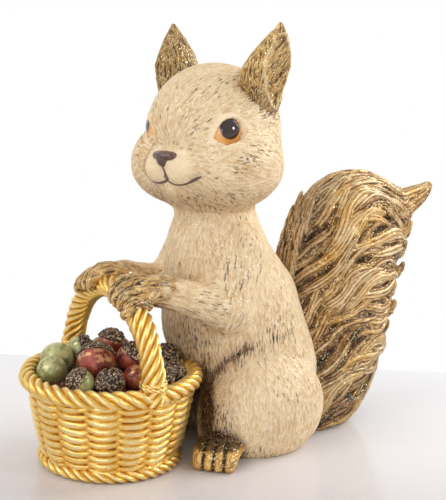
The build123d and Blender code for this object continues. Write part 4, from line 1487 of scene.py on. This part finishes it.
# rim and base
for nm, R, z, n, ro, rs, turns, node, ring, sq, seed in (("rim_strands", RIM_R, RIM_Z, 4, 2.15, 1.95, 10.0, "rim_rope", 4 * 26, (1.0, 1.02), 81),
                                                          ("base_strands", 30.4, 2.9, 4, 1.75, 1.75, 9.5, "base_rope", 4 * 22, (1.06, 0.84), 91)):
    m = int(2 * math.pi * R / 0.42) // q_
    a = np.arange(m) * 2 * math.pi / m
    P = np.stack([R * np.cos(a), R * np.sin(a), np.full(m, z)], -1)
    T = np.stack([-np.sin(a), np.cos(a), 0 * a], -1)
    N_ = np.stack([np.cos(a), np.sin(a), 0 * a], -1)
    v, f, t, hg = rope(P, T, N_, True, n, ro, rs, turns, ring // q_, 2, 0.4, seed, None, sq)
    v[:, 2] = np.maximum(v[:, 2], 0.0)
    col, tone = gold_paint(v, hg * 0.9 + 0.05, seed + 3)
    o = mesh(nm, v, f, M_BASKET, t, attrs(len(v), metal=0.62 + 0.3 * tone, gloss=0.46 - 0.14 * tone, glit=0.3), col)
    piece(o, "basket_gold", node)

# thin bindings where the handle meets the rim
for s, nm in ((1, "left_collar"), (-1, "right_collar")):
    vs, fs, hs, k0 = [], [], [], 0
    for dz, rr in ((3.6, 0.95), (5.6, 0.85)):
        m = 90
        a = np.arange(m) * 2 * math.pi / m
        P = np.stack([s * RIM_R + 5.3 * np.cos(a), 5.3 * np.sin(a), np.full(m, RIM_Z + 1.2 + dz) + 0.4 * np.sin(a + dz)], -1)
        T = np.stack([-np.sin(a), np.cos(a), 0 * a], -1)
        N_ = np.stack([np.cos(a), np.sin(a), 0 * a], -1)
        v, f, t, hg = rope(P, T, N_, True, 3, rr * 0.35, rr * 0.75, 4 / 3.0 * 3, 24, 1, 0.15, 7)
        vs.append(v)
        fs.append(f + k0)
        hs.append(hg)
        k0 += len(v)
    v, f, hg = np.vstack(vs), np.vstack(fs), np.concatenate(hs)
    col, tone = gold_paint(v, hg * 0.6 + 0.35, 101)
    o = mesh("binding_" + nm[:-7], v, f, M_BASKET, None, attrs(len(v), metal=0.85, gloss=0.36, glit=0.2), col)
    piece(o, "basket_gold", nm)
say("ropes")

# ---------------------------------------------------------------- woven wall
NCOL, PITCH = 16, 3.6
OUT = np.array([(29.6, 1.2), (31.0, 4.6), (33.4, 12.0), (35.4, 21.0), (37.0, 31.0), (37.8, 38.6), (38.0, 41.0)])
nth, nz = 600 // q_, 120 // q_
th = np.arange(nth) * 2 * math.pi / nth
z = np.linspace(1.6, 41.0, nz)
TH, ZZ = np.meshgrid(th, z, indexing="ij")
cl = (np.degrees(TH) + 0.5) / (360.0 / NCOL)
hmax = np.full(TH.shape, -1.5)
gr = np.zeros(TH.shape)
for dc in (-1, 0, 1):
    ci = np.floor(cl) + dc
    t = 2 * (cl - ci) - 1                                # -1..1 across this column
    par = (ci.astype(int) % 2) * 0.5
    jit = 0.25 * np.sin(ci * 12.9) + 0.15
    zz = ZZ - (4.6 + PITCH * par) - jit * 0.5
    row = np.round(zz / PITCH)
    rz = zz - row * PITCH
    rn = np.sin(row * 7.13 + ci * 3.7)
    rz = rz + 0.30 * rn * t - 0.75 * t * t + 0.25
    at_ = np.abs(t) / 1.22
    hw = 1.96 * (1 - 0.38 * np.clip(at_, 0, 1) ** 3) * (1 + 0.06 * rn)
    cs = np.clip(1 - (rz / hw) ** 2, 0, 1) ** 0.5
    lift = (1.75 + 0.2 * rn) * (1 - np.clip(at_, 0, 1) ** 2.4) ** 0.9 - 0.35
    hh = -1.5 + (lift + 1.5) * cs + 0.05 * np.cos(rz * 2 * math.pi / 0.85)
    hh = np.where(at_ < 1, hh, -1.5)
    gr = np.where(hh > hmax, cs, gr)
    hmax = np.maximum(hmax, hh)
Rz = np.interp(ZZ, OUT[:, 1], OUT[:, 0])
edge = step(ZZ, 1.6, 3.2) * (1 - step(ZZ, 38.8, 40.5))
rr = Rz - 0.35 + (hmax + 0.2) * edge
Vo = np.stack([rr * np.cos(TH), rr * np.sin(TH), ZZ], -1)
prof_in = [(34.6, 39.5), (34.4, 30.0), (31.0, 29.8), (28.4, 8.2), (14.0, 8.0), (0.05, 8.0)]
prof_bot = [(20.0, 1.4), (0.05, 1.4)]
cols = [Vo[:, k] for k in range(nz)]
for r, zq in prof_in:
    cols.append(np.stack([r * np.cos(th), r * np.sin(th), np.full(nth, zq)], -1))
pre = [np.stack([r * np.cos(th), r * np.sin(th), np.full(nth, zq)], -1) for r, zq in prof_bot[::-1]]
cols = pre + cols
m = len(cols)
v = np.stack(cols, 1).reshape(-1, 3)
I, J = np.meshgrid(np.arange(nth), np.arange(m - 1), indexing="ij")
I2 = (I + 1) % nth
f = np.stack([I * m + J, I2 * m + J, I2 * m + J + 1, I * m + J + 1], -1).reshape(-1, 4)
hg = np.full((nth, m), 0.3)
hg[:, len(pre):len(pre) + nz] = np.clip((hmax + 1.3) / 2.75, 0, 1) ** 1.15 * 0.92 + 0.04
hg = hg.ravel()
qv = v.copy()
v = v + 0.35 * np.stack([noise(qv, 5, 111 + k) - 0.5 for k in range(3)], -1)
v[:, 2] = np.maximum(v[:, 2], 0.05)
col, tone = gold_paint(v, hg, 121)
o = mesh("woven_wall", v, f, M_BASKET, None, attrs(len(v), metal=0.50 + 0.30 * tone, gloss=0.42 - 0.14 * tone, glit=0.6), col)
piece(o, "basket_gold", "basket_bowl")
say("weave")

# ---------------------------------------------------------------- nuts
NUTS = [
    ("green_nut_1", (-7.68, -26.58, 44.11), 6.70, None), ("green_nut_2", (-19.44, -18.36, 45.39), 7.50, None),
    ("green_nut_3", (-22.63, -4.78, 48.00), 6.00, (60, 20)), ("red_nut_1", (7.70, -12.18, 50.57), 8.35, (150, 40)),
    ("red_nut_2", (-5.48, 2.55, 54.00), 6.15, (100, 70)), ("red_nut_3", (8.12, 5.66, 50.00), 6.70, (60, 50)),
    ("red_nut_4", (20.12, 1.59, 44.50), 5.70, None), ("red_nut_5", (21.00, -11.61, 44.00), 6.20, (-50, 40)),
    ("green_nut_4", (14.61, -23.19, 44.40), 5.80, (-110, 35)), ("brown_nut_1", (17.75, 22.55, 43.00), 5.15, (-20, 60)),
    ("green_nut_5", (3.17, 27.44, 46.00), 5.75, (-40, 50)), ("red_nut_6", (-14.62, 11.63, 46.73), 6.40, None),
    ("brown_nut_2", (26.45, 11.14, 46.00), 5.60, (20, 50)), ("green_nut_6", (-27.00, 9.00, 44.60), 5.70, None),
    ("red_nut_7", (-11.15, 24.18, 46.26), 5.80, (100, 55)), ("brown_nut_3", (-0.60, 16.20, 43.60), 5.40, None),
]
PAL = {"green": (lin(190, 188, 132), lin(132, 144, 92), lin(226, 214, 160), lin(166, 130, 72)),
       "red": (lin(166, 78, 60), lin(104, 38, 28), lin(232, 178, 130), lin(190, 130, 74)),
       "brown": (lin(84, 82, 66), lin(44, 38, 30), lin(150, 140, 112), lin(120, 92, 60))}
rn_ = np.random.default_rng(5)
for k, (name, cpos, r, cap) in enumerate(NUTS):
    word = name.split("_")[0]
    cpos = np.array(cpos)
    r = r * 1.07 if word != "brown" else r
    if cap:
        az, el = map(math.radians, cap)
        ax = np.array([math.cos(el) * math.cos(az), math.cos(el) * math.sin(az), math.sin(el)])
    else:
        ax = rn_.normal(size=3) * [1, 1, 0.4]
        ax /= np.linalg.norm(ax)
    v, f, t, an = ball(cpos, 1.0, ax, 80, 56)
    nr = v - cpos
    n1_, n2_, n3_ = noise(nr * r + 31 * k, r * 0.9, 131, 2), noise(nr * r + 31 * k, 1.6, 132, 3), noise(nr * r + 17 * k, 3.0, 133, 2)
    rad = r * (1 + 0.035 * (n1_ - 0.5) - 0.02) + 0.16 * (n3_ - 0.5) + 0.05 * (n2_ - 0.5)
    v = cpos + nr * rad[:, None]
    c0, c1, c2, c3 = PAL[word]
    cc = mix(np.tile(c0, (len(v), 1)), c1, step(n3_, 0.35, 0.72))
    cc = mix(cc, c3, 0.6 * step(n1_, 0.55, 0.8))
    upz = nr[:, 2]
    rub = step(n2_ + 0.16 * upz, 0.58, 0.74) * step(n3_ + 0.15 * upz, 0.45, 0.62)
    cc = mix(cc, c2, 0.75 * rub)
    if cap:
        cc = mix(cc, c1 * 0.5, 0.8 * (1 - step(an, 1.20, 1.42)))
    o = mesh(name + "_shell", v, f, M_NUT, t, attrs(len(v), metal=0.15 + 0.4 * rub, gloss=0.34 + 0.12 * (n2_ - 0.5), glit=0.5), cc)
    piece(o, "nut_green" if word == "green" else "nut_red" if word == "red" else "nut_cap_brown", name)
    if cap:
        # a granular cup: outer skin, rolled edge, inner skin
        nu, na_ = 110, 44
        amax = math.acos(0.27)
        al = np.concatenate([np.linspace(0.02, amax, na_), [amax + 0.03, amax + 0.01], np.linspace(amax, 0.04, 12)])
        base = np.concatenate([np.full(na_, r + 0.42), [r + 0.05, r - 0.35], np.full(12, r - 0.55)])
        a_ = np.cross(ax, [0.3, 0.5, 0.81])
        a_ /= np.linalg.norm(a_)
        b_ = np.cross(ax, a_)
        phi = np.arange(nu) * 2 * math.pi / nu
        dirs = (np.cos(al)[:, None, None] * ax + np.sin(al)[:, None, None] * (np.cos(phi)[None, :, None] * a_ + np.sin(phi)[None, :, None] * b_))
        dirs = dirs.reshape(-1, 3)
        rad = np.repeat(base, nu)
        outer = np.repeat((np.arange(len(al)) < na_) * 1.0, nu)
        grit = np.zeros(len(dirs))
        sd_ = rn_.normal(size=(230, 3))
        sd_ /= np.linalg.norm(sd_, axis=1, keepdims=True)
        for i, j, dd_ in pairs(dirs * r, sd_ * r, 0.85):
            hh = 1 - (dd_ ** 2).sum(1) / 0.85 ** 2
            np.maximum.at(grit, i, hh)
        v = cpos + dirs * (rad + outer * (0.75 * grit - 0.30))[:, None]
        m_ = len(al)
        I, J = np.meshgrid(np.arange(m_ - 1), np.arange(nu), indexing="ij")
        J2 = (J + 1) % nu
        f = np.stack([I * nu + J, (I + 1) * nu + J, (I + 1) * nu + J2, I * nu + J2], -1).reshape(-1, 4)
        v = np.vstack([v, cpos + ax * (r + 0.5), cpos + ax * (r - 0.55)])
        j = np.arange(nu)
        tr = np.vstack([np.stack([np.full(nu, m_ * nu), j, (j + 1) % nu], -1), np.stack([np.full(nu, m_ * nu + 1), (m_ - 1) * nu + (j + 1) % nu, (m_ - 1) * nu + j], -1)])
        gg = np.append(grit * outer, [0.5, 0.2])
        nz_ = noise(v, 1.4, 141, 2)
        cc = mix(np.tile(lin(46, 30, 22), (len(v), 1)), lin(132, 104, 84), step(gg, 0.35, 0.95))
        cc = mix(cc, lin(216, 180, 130), 0.8 * step(gg, 0.6, 1.0) * step(nz_, 0.5, 0.65))
        o = mesh(name + "_cap_grit", v, f, M_CAP, tr, attrs(len(v), metal=0.25 * step(gg, 0.5, 1), gloss=0.48, glit=1.0), cc)
        piece(o, "nut_cap_brown", name + "_cap")
say("nuts")

# what the nuts lie in: lower nuts, seen only in the gaps, their colours darkened as painted shade deep in the basket
gq = Grid((-34, -34, 25), (34, 34, 47), 0.6)
BALLS = []
for i in range(-4, 5):
    for j in range(-4, 5):
        x0, y0 = 9.2 * i + 4.6 * (j % 2), 8.2 * j
        if math.hypot(x0, y0) < 27.5:
            BALLS.append((x0 + rn_.uniform(-1, 1), y0 + rn_.uniform(-1, 1), 36.0 + rn_.uniform(-1.2, 1.2) + 1.5 * (math.hypot(x0, y0) < 18), 5.6 + rn_.uniform(-0.4, 0.5)))
X, Y, Z = np.meshgrid(*gq.ax, indexing="ij")
gq.d = np.maximum(np.sqrt(X * X + Y * Y) - 30.5, np.maximum(Z - 34.5, 27.5 - Z)).astype(np.float32)
for x0, y0, z0, r0 in BALLS:
    ell(gq, (x0, y0, z0), (r0, r0, r0))
v, f = nets(gq)
B_ = np.array(BALLS)
kb = np.argmin(((v[:, None, :] - B_[None, :, :3]) ** 2).sum(2), axis=1)
words = ("green", "brown", "red", "brown", "red")
# painted shade: the nut colours are darkened to 0.6 and 0.5
c0 = np.array([PAL[words[k % 5]][0] for k in range(len(B_))])[kb] * 0.6
c1 = np.array([PAL[words[k % 5]][1] for k in range(len(B_))])[kb] * 0.5
cc = mix(c1, c0, step(noise(v, 3, 151, 2), 0.35, 0.7))
o = mesh("lower_nuts", v, f, M_CAP, None, attrs(len(v), metal=0.1, gloss=0.45, glit=0.4), cc)
piece(o, "nut_cap_brown", "nut_bed")

# ---------------------------------------------------------------- table, light
m = Mat("table_white")
nn_ = m.noise(40, 3, 0.5)
# painted shade: the floor colour darkens towards its front
floor_shade_tint = m.ramp(m.attr("depth"), [(0.0, lin(233, 233, 235)), (0.5, lin(229, 227, 229)), (1.0, lin(211, 206, 207))])
m.set(Base_Color=m.mixc(m.math("MULTIPLY", nn_, 0.10), floor_shade_tint, lin(240, 238, 238)), Roughness=m.ramp(m.noise(6, 3, 0.5), [(0.3, 0.16), (0.7, 0.22)]))
m.bsdf.inputs["Specular IOR Level"].default_value = 0.4


def on_table(px_, py_):
    d = ray(px_, py_)
    return CAM + d * (-CAM[2] / d[2])


e0, e1 = on_table(0, 353.6), on_table(446, 372.0)
ed = (e1 - e0) / np.linalg.norm(e1 - e0)
nrm = np.array([-ed[1], ed[0], 0])
if nrm @ (CAM - e0) < 0:
    nrm = -nrm
# a slab with a soft back edge
far_, near_ = [(on_table(223, y_) - e0) @ nrm for y_ in (372, 500)]
prof = [(0, -20), (0, -1.2), (0.35, -0.35), (1.2, 0), (far_ + 0.35 * (near_ - far_), 0), (far_ + 0.7 * (near_ - far_), 0), (near_, 0), (900, 0), (900, -20)]
# how much painted shade each profile row of the floor gets
floor_shade = [0, 0, 0, 0, 0.2, 0.6, 1.0, 1.0, 1.0]
us = np.array([-900, -300, 0, 300, 900.0])
v = np.array([e0 + (e1 - e0) / 2 + ed * u + nrm * a + np.array([0, 0, b]) for u in us for a, b in prof])
n_p = len(prof)
f = []
for i in range(len(us) - 1):
    for j in range(n_p):
        j2 = (j + 1) % n_p
        f.append((i * n_p + j, (i + 1) * n_p + j, (i + 1) * n_p + j2, i * n_p + j2))
f = np.array(f)
me = bpy.data.meshes.new("table")
me.from_pydata([tuple((p + OFF) / 1000) for p in v], [], [tuple(map(int, q)) for q in f])
me.update()
at_d = me.attributes.new("depth", "FLOAT", "POINT")
for i, x in enumerate(floor_shade * len(us)):
    at_d.data[i].value = x
import bmesh
bm = bmesh.new()
bm.from_mesh(me)
bmesh.ops.recalc_face_normals(bm, faces=bm.faces)
bm.to_mesh(me)
bm.free()
me.materials.append(m.m)
table = bpy.data.objects.new("table", me)
bpy.context.scene.collection.objects.link(table)
table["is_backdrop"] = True

world = bpy.data.worlds.new("studio")
bpy.context.scene.world = world
world.use_nodes = True
wt = world.node_tree
bg = wt.nodes["Background"]
wd_n = wt.nodes.new("ShaderNodeTexCoord").outputs["Generated"]
vm = wt.nodes.new("ShaderNodeVectorMath")
vm.operation = "DOT_PRODUCT"
wt.links.new(wd_n, vm.inputs[0])
vm.inputs[1].default_value = tuple(CF.tolist())
rp = wt.nodes.new("ShaderNodeValToRGB")
wt.links.new(vm.outputs["Value"], rp.inputs[0])
rp.color_ramp.interpolation = "EASE"
rp.color_ramp.elements[0].position, rp.color_ramp.elements[0].color = 0.15, (0.64, 0.63, 0.62, 1)
rp.color_ramp.elements[1].position, rp.color_ramp.elements[1].color = 0.80, (1.0, 1.0, 1.0, 1)
wt.links.new(rp.outputs[0], bg.inputs[0])
bg.inputs[1].default_value = 1.0


def area(name, loc, target, size, power, color=(1, 1, 1)):
    l = bpy.data.lights.new(name, "AREA")
    l.shape = "RECTANGLE"
    l.size, l.size_y = size
    l.energy = power
    l.color = color
    o = bpy.data.objects.new(name, l)
    bpy.context.scene.collection.objects.link(o)
    o.location = loc
    o.rotation_mode = "QUATERNION"
    o.rotation_quaternion = (Vector(target) - Vector(loc)).to_track_quat("-Z", "Y")
    return o


mid_ = (0.0, 0.0, 0.10)
right, fwd = Vector(CX.tolist()), Vector(CF.tolist())
area("key", Vector(mid_) - fwd * 0.55 - right * 0.75 + Vector((0, 0, 0.75)), mid_, (0.8, 0.8), 4.6)
area("spark", Vector(mid_) + right * 0.78 + Vector(CY.tolist()) * 0.20 - fwd * 0.42, mid_, (0.15, 0.15), 1.6)
eye_w = (hp(EYE) + OFF) / 1000
card_d = -CF - 0.27 * CX - 0.20 * CY
area("card", Vector((eye_w + 0.9 * card_d).tolist()), Vector(eye_w.tolist()), (0.42, 0.50), 1.35)
area("rim", Vector(mid_) + fwd * 0.35 + right * 0.8 + Vector((0, 0, 0.6)), mid_, (0.4, 0.7), 5.0)

sc_ = bpy.context.scene
sc_.view_settings.view_transform = "Standard"
sc_.view_settings.look = "None"
sc_.view_settings.exposure = 0.0
sc_.view_settings.gamma = 1.0

VIS = [list(map(float, v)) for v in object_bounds()]
say("done", CAD_BOX, VIS)
